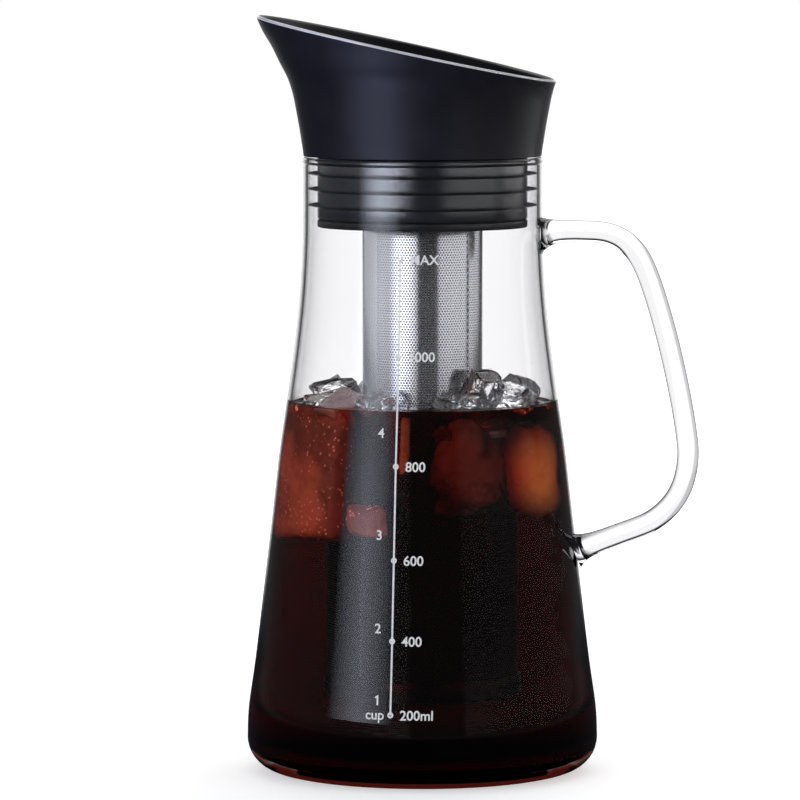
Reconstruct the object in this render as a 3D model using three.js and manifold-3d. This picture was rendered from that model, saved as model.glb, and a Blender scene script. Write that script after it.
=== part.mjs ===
// A glass cold brew coffee maker: a carafe with a drawn glass handle, a slanted pouring spout with a
// three-fin neck seal, a flap that closes the mouth, and a perforated filter that hangs from the lid.
// Millimetres and degrees, +Z up. The origin is the middle of the carafe's flat base, the handle points
// along +X and the spout's high tip along -X.

import * as THREE from 'three';
import { mergeVertices } from 'three/addons/utils/BufferGeometryUtils.js';
import Module from 'manifold-3d';

const wasm = await Module();
wasm.setup();

// Clearances and cutting
const FIT_GAP = 0.3;            // between neighbouring pieces that don't move
const PIN_CLEARANCE = 0.3;      // round the hinge pin
const CUT_OVERRUN = 2;          // how far a cutting solid runs past what it cuts

// Carafe
const CARAFE_HEIGHT = 198.5;    // base to the top of the glass lip
const BELLY_RADIUS = 56.8;      // widest, just above the base
const NECK_RADIUS = 38.6;       // outside of the straight neck
const GLASS_WALL = 1.6;
const GLASS_FLOOR = 3.2;
const BASE_CORNER_RADIUS = 10.6;
const LIP_SWELL = 0.15;         // how much fuller than the wall the fire-polished lip is, each side
const LIP_SWELL_HEIGHT = 3;     // how far below the lip the wall starts to swell

// Handle
const HANDLE_REACH = 85.8;      // axis of the carafe to the rod's centreline at its farthest
const HANDLE_DROP = 23.8;       // glass lip to the rod's centreline where it leaves the neck
const HANDLE_FOOT = 71.7;       // height of the rod's centreline where it meets the belly
const HANDLE_THICKNESS = 7;     // seen from the side
const HANDLE_WIDTH = 8.6;       // across the carafe
const WELD_RADIUS = 6.1;        // half the height of the fused pads
const WELD_DEPTH = 4.2;         // how far the pads run out along the rod
const WELD_SAG = 1.8;           // how far the upper pad hangs below the rod
const WELD_WAIST_SHARE = 0.4;   // of the pad's depth, where its flare is tightest

// Spout shell
const SPOUT_HEIGHT = 45.2;      // from its foot on the lip to its tip
const SPOUT_FOOT_STEP = 0.2;    // how far its foot stands back from the neck's outside
const SPOUT_FLARE = 15.3;       // foot radius to tip radius
const SPOUT_WALL = 2.2;
const SPOUT_FLOOR = 2.5;        // thickness of the ring that stands on the lip
const RIM_TILT = 12;            // degrees

// Neck seal and plug
const FIN_LENGTH = 2.8;
const FIN_THICKNESS = 0.8;
const FIN_TIP_THICKNESS = 0.5;
const FIN_PITCH = 5.05;
const TOP_FIN_DROP = 6;         // glass lip to the middle of the top fin
const SLEEVE_WALL = 1.6;
const BARREL_WALL = 1.8;
const FLANGE_THICKNESS = 2;
const PLUG_DEPTH = 22.5;        // glass lip to the plug's lower face

// Pour strainer
const STRAINER_THICKNESS = 2.4;
const STRAINER_RIM_WIDTH = 2.9;
const SPOKE_WIDTH = 2.6;
const SPOKE_COUNT = 4;
const POUR_SLOT_WIDTH = 5.8;    // between the socket and the strainer's rim
const SOCKET_WALL = 1.8;
const SOCKET_DEPTH = 14;

// Flap and its seat
const SEAT_LEDGE = 12.2;        // how far the seat reaches in over the barrel's bore
const SEAT_THICKNESS = 2.4;
const SEAT_RISE = 1.6;          // how much higher the seat's outer edge is than its hole
const SEAT_SEAL_WIDTH = 3;
const SEAT_SEAL_THICKNESS = 1;
const FLAP_OVERLAP = 0.8;       // how far the flap reaches past its seal
const FLAP_THICKNESS = 1.2;
const FLAP_EDGE_RADIUS = 0.4;
const HINGE_OFFSET = 3.2;       // flap's edge to the pin
const PIN_RADIUS = 1;
const PIN_HEAD_RADIUS = 1.7;
const PIN_HEAD_THICKNESS = 0.8;
const KNUCKLE_WALL = 1;
const KNUCKLE_LENGTH = 14;
const EAR_THICKNESS = 2;
const EAR_WALL = 1.4;
const WEIGHT_RADIUS = 5;
const WEIGHT_HEIGHT = 6;
const WEIGHT_EDGE = 0.6;

// Filter
const SCREEN_WALL = 0.5;
const LINER_WALL = 0.4;
const FILTER_BOTTOM = 22.9;     // carafe base to the underside of the filter's cap
const CAP_WALL = 0.5;
const CAP_HEIGHT = 7;
const COLLAR_WALL = 1.5;        // left beside the groove
const COLLAR_LIP = 1.4;         // thickness over the top of the screen
const COLLAR_TOP_DROP = 0.6;    // collar's top below the socket's top
const COLLAR_GROOVE_WIDTH = 2.4;
const RING_RADIUS = 0.8;        // section of the rubber ring in the groove

// How finely round shapes are divided
const ROUND_STEPS = 40;
const SMALL_ROUND_STEPS = 20;
const ARC_STEPS = 4;
const BODY_STEPS = 16;
const SPOUT_STEPS = 11;
const ROD_STEPS = 36;
const ROD_SIDES = 12;

// Places that several pieces share
const LIP_RADIUS = GLASS_WALL / 2 + LIP_SWELL;
const MOUTH_RADIUS = NECK_RADIUS - GLASS_WALL;
const HANDLE_TOP = CARAFE_HEIGHT - HANDLE_DROP;
const SPOUT_FOOT_RADIUS = NECK_RADIUS - SPOUT_FOOT_STEP;
const SPOUT_TIP_RADIUS = SPOUT_FOOT_RADIUS + SPOUT_FLARE;
const SPOUT_FOOT = CARAFE_HEIGHT + FIT_GAP;
const SPOUT_FLOOR_TOP = SPOUT_FOOT + SPOUT_FLOOR;
const SPOUT_TIP = SPOUT_FOOT + SPOUT_HEIGHT;
const SLEEVE_RADIUS = MOUTH_RADIUS - FIT_GAP - FIN_LENGTH;
const BARREL_RADIUS = SLEEVE_RADIUS - SLEEVE_WALL - FIT_GAP;
const BARREL_BORE = BARREL_RADIUS - BARREL_WALL;
const FLANGE_RADIUS = SPOUT_FOOT_RADIUS - SPOUT_WALL - FIT_GAP;
const PLUG_BOTTOM = CARAFE_HEIGHT - PLUG_DEPTH;
const STRAINER_TOP = PLUG_BOTTOM + STRAINER_THICKNESS;
const FLANGE_BOTTOM = SPOUT_FLOOR_TOP + FIT_GAP;
const FLANGE_TOP = FLANGE_BOTTOM + FLANGE_THICKNESS;
const SEAT_BOTTOM = FLANGE_TOP + FIT_GAP;
const SEAT_TOP = SEAT_BOTTOM + SEAT_THICKNESS;
const SEAL_BOTTOM = SEAT_TOP + FIT_GAP;
const SEAT_HOLE_RADIUS = BARREL_BORE - SEAT_LEDGE;
const FLAP_RADIUS = SEAT_HOLE_RADIUS + SEAT_SEAL_WIDTH + FLAP_OVERLAP;
const FLAP_BOTTOM = SEAL_BOTTOM + SEAT_SEAL_THICKNESS + FIT_GAP;
const PIN_BORE = PIN_RADIUS + PIN_CLEARANCE;
const KNUCKLE_RADIUS = PIN_BORE + KNUCKLE_WALL;
const HINGE_X = FLAP_RADIUS + HINGE_OFFSET;
const HINGE_Z = FLAP_BOTTOM + KNUCKLE_RADIUS;
const EAR_RADIUS = PIN_BORE + EAR_WALL;
const EAR_INSIDE = KNUCKLE_LENGTH / 2 + FIT_GAP;
const EAR_OUTSIDE = EAR_INSIDE + EAR_THICKNESS;
const SOCKET_RADIUS = SLEEVE_RADIUS - STRAINER_RIM_WIDTH - POUR_SLOT_WIDTH;
const SOCKET_BORE = SOCKET_RADIUS - SOCKET_WALL;
const COLLAR_RADIUS = SOCKET_BORE - FIT_GAP;
const GROOVE_RADIUS = COLLAR_RADIUS - 2 * RING_RADIUS - FIT_GAP;
const COLLAR_BORE = GROOVE_RADIUS - COLLAR_WALL;
const FILTER_RADIUS = COLLAR_BORE - FIT_GAP;
const SOCKET_TOP = PLUG_BOTTOM + SOCKET_DEPTH;
const COLLAR_TOP = SOCKET_TOP - COLLAR_TOP_DROP;
const SCREEN_TOP = COLLAR_TOP - COLLAR_LIP - FIT_GAP;
const SCREEN_BOTTOM = FILTER_BOTTOM + CAP_WALL + FIT_GAP;
const SCREEN_BORE = FILTER_RADIUS - SCREEN_WALL;
const LINER_RADIUS = SCREEN_BORE - FIT_GAP;
const LINER_BORE = LINER_RADIUS - LINER_WALL;

// Outlines as shares: [share of the height, share of the way from the small radius to the large one]
const BODY_OUTLINE_SHARES = [
  [0, 1], [0.053, 0.975], [0.137, 0.855], [0.255, 0.71], [0.385, 0.56], [0.505, 0.42],
  [0.605, 0.272], [0.703, 0.14], [0.79, 0.053], [0.88, 0.008], [0.97, 0],
];
const SPOUT_OUTLINE_SHARES = [
  [0, 0], [0.1, 0.04], [0.21, 0.09], [0.32, 0.155], [0.44, 0.24], [0.55, 0.375], [0.66, 0.515],
  [0.78, 0.675], [0.89, 0.855], [1, 1], [1.1, 1.1],
];
// The rod between its ends: [share of the way from the neck to the reach, share of the rise]
const HANDLE_PATH_SHARES = [
  [0.27, 1], [0.46, 0.992], [0.6, 0.957], [0.703, 0.888], [0.805, 0.754], [0.905, 0.578],
  [0.982, 0.396], [1, 0.28], [0.934, 0.176], [0.771, 0.097], [0.51, 0.046],
];

const FINISHES = {
  glass: { color: 0xe9f0f0, roughness: 0.04, metalness: 0, transparent: true, opacity: 0.35 },
  black_plastic: { color: 0x17181c, roughness: 0.38, metalness: 0 },
  silicone: { color: 0x101114, roughness: 0.62, metalness: 0 },
  steel: { color: 0xa9abad, roughness: 0.28, metalness: 1 },
  mesh: { color: 0x8b8d92, roughness: 0.42, metalness: 1 },
};

// Small helpers

function point(radius, height) {
  return new THREE.Vector2(radius, height);
}

// A closed outline in (radius, height) turned round the Z axis.
function revolve(outline, steps = ROUND_STEPS) {
  const counterClockwise = THREE.ShapeUtils.area(outline) > 0;
  const points = counterClockwise ? [...outline] : [...outline].reverse();
  const geometry = new THREE.LatheGeometry([...points, points[0]], steps);
  return geometry.rotateX(Math.PI / 2);
}

// A ring of rectangular section.
function ring(inner, outer, bottom, top) {
  return revolve([point(inner, bottom), point(outer, bottom), point(outer, top), point(inner, top)]);
}

function arc(centre, radius, from, to, steps = ARC_STEPS) {
  const points = [];
  for (let i = 0; i <= steps; i += 1) {
    const angle = THREE.MathUtils.degToRad(from + (to - from) * (i / steps));
    points.push(point(centre.x + radius * Math.cos(angle), centre.y + radius * Math.sin(angle)));
  }
  return points;
}

// A round bar along Y, centred on y = 0.
function barAlongY(radius, length, x, z, steps = SMALL_ROUND_STEPS) {
  return new THREE.CylinderGeometry(radius, radius, length, steps).translate(x, 0, z);
}

function box(sizeX, sizeY, sizeZ, x, y, z) {
  return new THREE.BoxGeometry(sizeX, sizeY, sizeZ).translate(x, y, z);
}

// Turns a closed mesh into a solid that can be joined and cut.
function toSolid(geometry) {
  const bare = geometry.clone();
  bare.deleteAttribute('normal');
  bare.deleteAttribute('uv');
  const merged = mergeVertices(bare);
  const corners = merged.index.array;
  const kept = [];
  for (let i = 0; i < corners.length; i += 3) {
    const [a, b, c] = [corners[i], corners[i + 1], corners[i + 2]];
    if (a !== b && b !== c && c !== a) kept.push(a, b, c);
  }
  const mesh = new wasm.Mesh({
    numProp: 3,
    vertProperties: new Float32Array(merged.attributes.position.array),
    triVerts: new Uint32Array(kept),
  });
  return new wasm.Manifold(mesh);
}

function toGeometry(solid) {
  const mesh = solid.getMesh();
  const geometry = new THREE.BufferGeometry();
  geometry.setAttribute('position', new THREE.BufferAttribute(mesh.vertProperties, 3));
  geometry.setIndex(new THREE.BufferAttribute(mesh.triVerts, 1));
  geometry.computeVertexNormals();
  return geometry;
}

function join(...geometries) {
  return toGeometry(geometries.map(toSolid).reduce((all, next) => all.add(next)));
}

function cut(geometry, cutter) {
  return toGeometry(toSolid(geometry).subtract(toSolid(cutter)));
}

// Carafe

function bodyOutline() {
  const height = CARAFE_HEIGHT - LIP_SWELL_HEIGHT - BASE_CORNER_RADIUS;
  const knots = BODY_OUTLINE_SHARES.map(([heightShare, radiusShare]) => point(
    NECK_RADIUS + radiusShare * (BELLY_RADIUS - NECK_RADIUS),
    BASE_CORNER_RADIUS + heightShare * height,
  ));
  return new THREE.SplineCurve(knots).getPoints(BODY_STEPS);
}

function carafeBody() {
  const outside = bodyOutline();
  const cornerCentre = BELLY_RADIUS - BASE_CORNER_RADIUS;
  const outerCorner = arc(point(cornerCentre, BASE_CORNER_RADIUS), BASE_CORNER_RADIUS, -90, 0);
  const innerRadius = BASE_CORNER_RADIUS - GLASS_WALL;
  const innerCorner = arc(point(cornerCentre, GLASS_FLOOR + innerRadius), innerRadius, -90, 0);
  const lip = arc(point(MOUTH_RADIUS + LIP_RADIUS, CARAFE_HEIGHT - LIP_RADIUS), LIP_RADIUS, 0, 180);
  const inside = outside
    .filter((p) => p.y > GLASS_FLOOR + BASE_CORNER_RADIUS)
    .map((p) => point(p.x - GLASS_WALL, p.y));
  return revolve([
    point(0, 0),
    ...outerCorner,
    ...outside.slice(1),
    ...lip,
    ...inside.reverse(),
    ...innerCorner.reverse(),
    point(0, GLASS_FLOOR),
  ]);
}

// The space that the glass body fills, with a gap all round, for trimming what is welded to it.
function carafeEnvelope() {
  const outside = bodyOutline().map((p) => point(p.x + FIT_GAP, p.y));
  return revolve([point(0, 0), point(BELLY_RADIUS + FIT_GAP, 0), ...outside, point(0, CARAFE_HEIGHT)]);
}

// Outside radius of the glass at a height.
function radiusOfBodyAt(height) {
  const outside = bodyOutline();
  const above = outside.findIndex((p) => p.y >= height);
  const [low, high] = [outside[above - 1], outside[above]];
  return THREE.MathUtils.mapLinear(height, low.y, high.y, low.x, high.x);
}

function handlePath() {
  const reach = HANDLE_REACH - NECK_RADIUS;
  const rise = HANDLE_TOP - HANDLE_FOOT;
  const between = HANDLE_PATH_SHARES.map(([reachShare, riseShare]) => (
    new THREE.Vector3(NECK_RADIUS + reachShare * reach, 0, HANDLE_FOOT + riseShare * rise)
  ));
  return new THREE.CatmullRomCurve3([
    new THREE.Vector3(radiusOfBodyAt(HANDLE_TOP) - GLASS_WALL, 0, HANDLE_TOP),
    ...between,
    new THREE.Vector3(radiusOfBodyAt(HANDLE_FOOT) - GLASS_WALL, 0, HANDLE_FOOT),
  ]);
}

function handleRod(path) {
  const section = new THREE.Shape();
  section.absellipse(0, 0, HANDLE_WIDTH / 2, HANDLE_THICKNESS / 2, 0, 2 * Math.PI);
  const outline = new THREE.Shape(section.getSpacedPoints(ROD_SIDES).slice(0, -1));
  return new THREE.ExtrudeGeometry(outline, {
    extrudePath: path, steps: ROD_STEPS, curveSegments: 1, bevelEnabled: false,
  });
}

// The fused pad where the rod meets the wall: a flared foot that narrows along the rod.
function weldPad(wallRadius, height) {
  const rodRadius = HANDLE_THICKNESS / 2;
  const flare = new THREE.QuadraticBezierCurve(
    point(WELD_RADIUS, 0),
    point(rodRadius, WELD_WAIST_SHARE * WELD_DEPTH),
    point(rodRadius, WELD_DEPTH),
  ).getPoints(ARC_STEPS);
  const foot = -GLASS_WALL - CUT_OVERRUN;
  const pad = revolve(
    [point(0, foot), point(WELD_RADIUS, foot), ...flare, point(0, WELD_DEPTH)],
    SMALL_ROUND_STEPS,
  );
  return pad.rotateY(Math.PI / 2).translate(wallRadius, 0, height);
}

function carafeHandle() {
  const path = handlePath();
  const upperPad = weldPad(radiusOfBodyAt(HANDLE_TOP), HANDLE_TOP - WELD_SAG);
  const lowerPad = weldPad(radiusOfBodyAt(HANDLE_FOOT), HANDLE_FOOT);
  return cut(join(handleRod(path), upperPad, lowerPad), carafeEnvelope());
}

// Lid

function spoutOutline() {
  const spread = SPOUT_TIP_RADIUS - SPOUT_FOOT_RADIUS;
  const knots = SPOUT_OUTLINE_SHARES.map(([heightShare, radiusShare]) => point(
    SPOUT_FOOT_RADIUS + radiusShare * spread,
    SPOUT_FOOT + heightShare * SPOUT_HEIGHT,
  ));
  return new THREE.SplineCurve(knots).getPoints(SPOUT_STEPS);
}

// Everything above the slanted rim.
function aboveRim() {
  const size = 6 * SPOUT_TIP_RADIUS;
  return new THREE.BoxGeometry(size, size, SPOUT_HEIGHT)
    .translate(0, 0, SPOUT_HEIGHT / 2)
    .rotateY(THREE.MathUtils.degToRad(RIM_TILT))
    .translate(-SPOUT_TIP_RADIUS, 0, SPOUT_TIP);
}

function spoutShell() {
  const outside = spoutOutline();
  const inside = outside
    .filter((p) => p.y > SPOUT_FLOOR_TOP)
    .map((p) => point(p.x - SPOUT_WALL, p.y));
  const bore = BARREL_RADIUS + FIT_GAP;
  const cup = revolve([
    ...outside,
    ...inside.reverse(),
    point(inside.at(-1).x, SPOUT_FLOOR_TOP),
    point(bore, SPOUT_FLOOR_TOP),
    point(bore, SPOUT_FOOT),
  ]);
  return cut(cup, aboveRim());
}

function plugBarrel() {
  return revolve([
    point(BARREL_BORE, STRAINER_TOP + FIT_GAP),
    point(BARREL_RADIUS, STRAINER_TOP + FIT_GAP),
    point(BARREL_RADIUS, FLANGE_BOTTOM),
    point(FLANGE_RADIUS, FLANGE_BOTTOM),
    point(FLANGE_RADIUS, FLANGE_TOP),
    point(BARREL_BORE, FLANGE_TOP),
  ]);
}

function neckSeal() {
  const fins = [2, 1, 0].flatMap((index) => {
    const height = CARAFE_HEIGHT - TOP_FIN_DROP - index * FIN_PITCH;
    const tip = SLEEVE_RADIUS + FIN_LENGTH;
    return [
      point(SLEEVE_RADIUS, height - FIN_THICKNESS / 2),
      point(tip, height - FIN_TIP_THICKNESS / 2),
      point(tip, height + FIN_TIP_THICKNESS / 2),
      point(SLEEVE_RADIUS, height + FIN_THICKNESS / 2),
    ];
  });
  const bore = SLEEVE_RADIUS - SLEEVE_WALL;
  return revolve([
    point(bore, STRAINER_TOP + FIT_GAP),
    point(SLEEVE_RADIUS, STRAINER_TOP + FIT_GAP),
    ...fins,
    point(SLEEVE_RADIUS, CARAFE_HEIGHT),
    point(bore, CARAFE_HEIGHT),
  ]);
}

function pourStrainer() {
  const rim = ring(SLEEVE_RADIUS - STRAINER_RIM_WIDTH, SLEEVE_RADIUS, PLUG_BOTTOM, STRAINER_TOP);
  const socket = ring(SOCKET_BORE, SOCKET_RADIUS, PLUG_BOTTOM, SOCKET_TOP);
  const inner = (SOCKET_BORE + SOCKET_RADIUS) / 2;
  const outer = SLEEVE_RADIUS - STRAINER_RIM_WIDTH / 2;
  const spokes = [];
  for (let i = 0; i < SPOKE_COUNT; i += 1) {
    const turn = (2 * Math.PI * (i + 0.5)) / SPOKE_COUNT;
    const middle = (PLUG_BOTTOM + STRAINER_TOP) / 2;
    const spoke = box(outer - inner, SPOKE_WIDTH, STRAINER_THICKNESS, (inner + outer) / 2, 0, middle);
    spokes.push(spoke.rotateZ(turn));
  }
  return join(rim, socket, ...spokes);
}

// Flap and seat

function hingeEar(side) {
  const y = side * (EAR_INSIDE + EAR_THICKNESS / 2);
  const round = barAlongY(EAR_RADIUS, EAR_THICKNESS, HINGE_X, HINGE_Z).translate(0, y, 0);
  const foot = HINGE_Z - SEAT_BOTTOM - SEAT_THICKNESS / 2;
  const post = box(2 * EAR_RADIUS, EAR_THICKNESS, foot, HINGE_X, y, HINGE_Z - foot / 2);
  return join(round, post);
}

function flapSeat() {
  const plate = revolve([
    point(SEAT_HOLE_RADIUS, SEAT_BOTTOM),
    point(FLANGE_RADIUS, SEAT_BOTTOM),
    point(FLANGE_RADIUS, SEAT_TOP + SEAT_RISE),
    point(HINGE_X + EAR_RADIUS, SEAT_TOP),
    point(SEAT_HOLE_RADIUS, SEAT_TOP),
  ]);
  const bore = barAlongY(PIN_BORE, 2 * EAR_OUTSIDE + CUT_OVERRUN, HINGE_X, HINGE_Z);
  return cut(join(plate, hingeEar(1), hingeEar(-1)), bore);
}

function flapSeatSeal() {
  return ring(
    SEAT_HOLE_RADIUS,
    SEAT_HOLE_RADIUS + SEAT_SEAL_WIDTH,
    SEAL_BOTTOM,
    SEAL_BOTTOM + SEAT_SEAL_THICKNESS,
  );
}

function pourFlap() {
  const top = FLAP_BOTTOM + FLAP_THICKNESS;
  const plate = revolve([
    point(0, FLAP_BOTTOM),
    point(FLAP_RADIUS, FLAP_BOTTOM),
    ...arc(point(FLAP_RADIUS - FLAP_EDGE_RADIUS, top - FLAP_EDGE_RADIUS), FLAP_EDGE_RADIUS, 0, 90),
    point(0, top),
  ]);
  const knuckle = barAlongY(KNUCKLE_RADIUS, KNUCKLE_LENGTH, HINGE_X, HINGE_Z);
  const reach = HINGE_X - FLAP_RADIUS / 2;
  const middle = FLAP_BOTTOM + FLAP_THICKNESS / 2;
  const tongue = box(reach, KNUCKLE_LENGTH, FLAP_THICKNESS, HINGE_X - reach / 2, 0, middle);
  const bore = barAlongY(PIN_BORE, KNUCKLE_LENGTH + CUT_OVERRUN, HINGE_X, HINGE_Z);
  return cut(join(plate, tongue, knuckle), bore);
}

function flapWeight() {
  const top = FLAP_BOTTOM - FIT_GAP;
  const bottom = top - WEIGHT_HEIGHT;
  return revolve([
    point(0, bottom),
    point(WEIGHT_RADIUS - WEIGHT_EDGE, bottom),
    point(WEIGHT_RADIUS, bottom + WEIGHT_EDGE),
    point(WEIGHT_RADIUS, top),
    point(0, top),
  ], SMALL_ROUND_STEPS).translate(SEAT_HOLE_RADIUS / 2, 0, 0);
}

function flapHingePin() {
  const end = EAR_OUTSIDE + FIT_GAP;
  const pin = revolve([
    point(0, -end),
    point(PIN_RADIUS, -end),
    point(PIN_RADIUS, end),
    point(PIN_HEAD_RADIUS, end),
    point(PIN_HEAD_RADIUS, end + PIN_HEAD_THICKNESS),
    point(0, end + PIN_HEAD_THICKNESS),
  ], SMALL_ROUND_STEPS);
  return pin.rotateX(Math.PI / 2).translate(HINGE_X, 0, HINGE_Z);
}

// Filter

function filterCollar() {
  const grooveMiddle = (PLUG_BOTTOM + SOCKET_TOP) / 2;
  const grooveBottom = grooveMiddle - COLLAR_GROOVE_WIDTH / 2;
  const grooveTop = grooveMiddle + COLLAR_GROOVE_WIDTH / 2;
  return revolve([
    point(COLLAR_BORE, PLUG_BOTTOM),
    point(COLLAR_RADIUS, PLUG_BOTTOM),
    point(COLLAR_RADIUS, grooveBottom),
    point(GROOVE_RADIUS, grooveBottom),
    point(GROOVE_RADIUS, grooveTop),
    point(COLLAR_RADIUS, grooveTop),
    point(COLLAR_RADIUS, COLLAR_TOP),
    point(LINER_BORE, COLLAR_TOP),
    point(LINER_BORE, COLLAR_TOP - COLLAR_LIP),
    point(COLLAR_BORE, COLLAR_TOP - COLLAR_LIP),
  ]);
}

function filterCollarSeal() {
  const centre = point(COLLAR_RADIUS - RING_RADIUS, (PLUG_BOTTOM + SOCKET_TOP) / 2);
  return revolve(arc(centre, RING_RADIUS, 0, 360, 2 * ARC_STEPS).slice(1));
}

function filterScreen() {
  return ring(SCREEN_BORE, FILTER_RADIUS, SCREEN_BOTTOM, SCREEN_TOP);
}

function filterLiner() {
  return revolve([
    point(0, SCREEN_BOTTOM),
    point(LINER_RADIUS, SCREEN_BOTTOM),
    point(LINER_RADIUS, SCREEN_TOP),
    point(LINER_BORE, SCREEN_TOP),
    point(LINER_BORE, SCREEN_BOTTOM + LINER_WALL),
    point(0, SCREEN_BOTTOM + LINER_WALL),
  ]);
}

function filterBaseCup() {
  const inner = FILTER_RADIUS + FIT_GAP;
  return revolve([
    point(0, FILTER_BOTTOM),
    point(inner, FILTER_BOTTOM),
    point(inner + CAP_WALL, FILTER_BOTTOM + CAP_WALL),
    point(inner + CAP_WALL, FILTER_BOTTOM + CAP_HEIGHT),
    point(inner, FILTER_BOTTOM + CAP_HEIGHT),
    point(inner, FILTER_BOTTOM + CAP_WALL),
    point(0, FILTER_BOTTOM + CAP_WALL),
  ]);
}

// Assembly

function piece(name, geometry, finish) {
  const mesh = new THREE.Mesh(geometry, new THREE.MeshStandardMaterial(FINISHES[finish]));
  mesh.name = name;
  return mesh;
}

function group(...children) {
  return new THREE.Group().add(...children);
}

const carafe = group(
  piece('carafe_body', carafeBody(), 'glass'),
  piece('carafe_handle', carafeHandle(), 'glass'),
);

const flap = group(
  piece('pour_flap', pourFlap(), 'steel'),
  piece('flap_weight', flapWeight(), 'steel'),
);

const filter = group(
  piece('filter_collar', filterCollar(), 'black_plastic'),
  piece('filter_collar_seal', filterCollarSeal(), 'silicone'),
  piece('filter_screen', filterScreen(), 'mesh'),
  piece('filter_liner', filterLiner(), 'mesh'),
  piece('filter_base_cup', filterBaseCup(), 'steel'),
);

const lid = group(
  piece('spout_shell', spoutShell(), 'black_plastic'),
  piece('plug_barrel', plugBarrel(), 'black_plastic'),
  piece('neck_seal', neckSeal(), 'silicone'),
  piece('pour_strainer', pourStrainer(), 'black_plastic'),
  piece('flap_seat', flapSeat(), 'black_plastic'),
  piece('flap_seat_seal', flapSeatSeal(), 'silicone'),
  piece('flap_hinge_pin', flapHingePin(), 'steel'),
  flap,
  filter,
);

export default group(carafe, lid);
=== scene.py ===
"""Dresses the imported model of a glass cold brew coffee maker.

Sizes are millimetres in the frame's own axes: Z runs up from the carafe's flat base, the handle
points along +X and the spout's high tip along -X. Angles round the carafe are degrees, counted
from the front (-Y) towards the handle.
"""

import logging
import math
from collections.abc import Callable, Sequence
from dataclasses import dataclass
from enum import Enum
from functools import cache

import bmesh
import bpy
from mathutils import Euler, Matrix, Vector, noise


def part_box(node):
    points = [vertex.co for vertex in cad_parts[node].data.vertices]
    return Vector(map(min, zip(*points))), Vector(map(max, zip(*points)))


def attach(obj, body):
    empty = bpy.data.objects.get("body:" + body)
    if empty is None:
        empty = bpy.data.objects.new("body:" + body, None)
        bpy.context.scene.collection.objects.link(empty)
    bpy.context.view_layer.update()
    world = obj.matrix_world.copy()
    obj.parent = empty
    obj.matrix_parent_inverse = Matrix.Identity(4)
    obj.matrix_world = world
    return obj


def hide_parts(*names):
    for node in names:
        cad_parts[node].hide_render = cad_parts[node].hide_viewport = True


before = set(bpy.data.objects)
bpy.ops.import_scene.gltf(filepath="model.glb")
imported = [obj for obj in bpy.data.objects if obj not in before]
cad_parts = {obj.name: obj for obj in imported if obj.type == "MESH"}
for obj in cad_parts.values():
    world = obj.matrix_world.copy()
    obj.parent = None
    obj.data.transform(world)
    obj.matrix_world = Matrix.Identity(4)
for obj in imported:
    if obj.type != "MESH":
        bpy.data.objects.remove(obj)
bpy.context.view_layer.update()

MM = 0.001
ROUND_STEPS = 144
LIP = round(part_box("carafe_body")[1].z / MM, 2)

Point = tuple[float, float]
Outline = Sequence[Point]
Colour = tuple[float, float, float]
Socket = bpy.types.NodeSocket
Move = Callable[[Vector], Vector]

COOL = (0.8, 0.85, 1.0)

log = logging.getLogger("coffee_maker")


class Body(Enum):
    """The frame's moving bodies."""

    CARAFE = "carafe"
    LID = "lid"
    FLAP = "flap"
    FILTER = "filter"


class Slot(Enum):
    """The record's finishes."""

    GLASS = "glass"
    PLASTIC = "black_plastic"
    SILICONE = "silicone"
    STEEL = "steel"
    MESH = "mesh"


# Node trees


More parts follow.
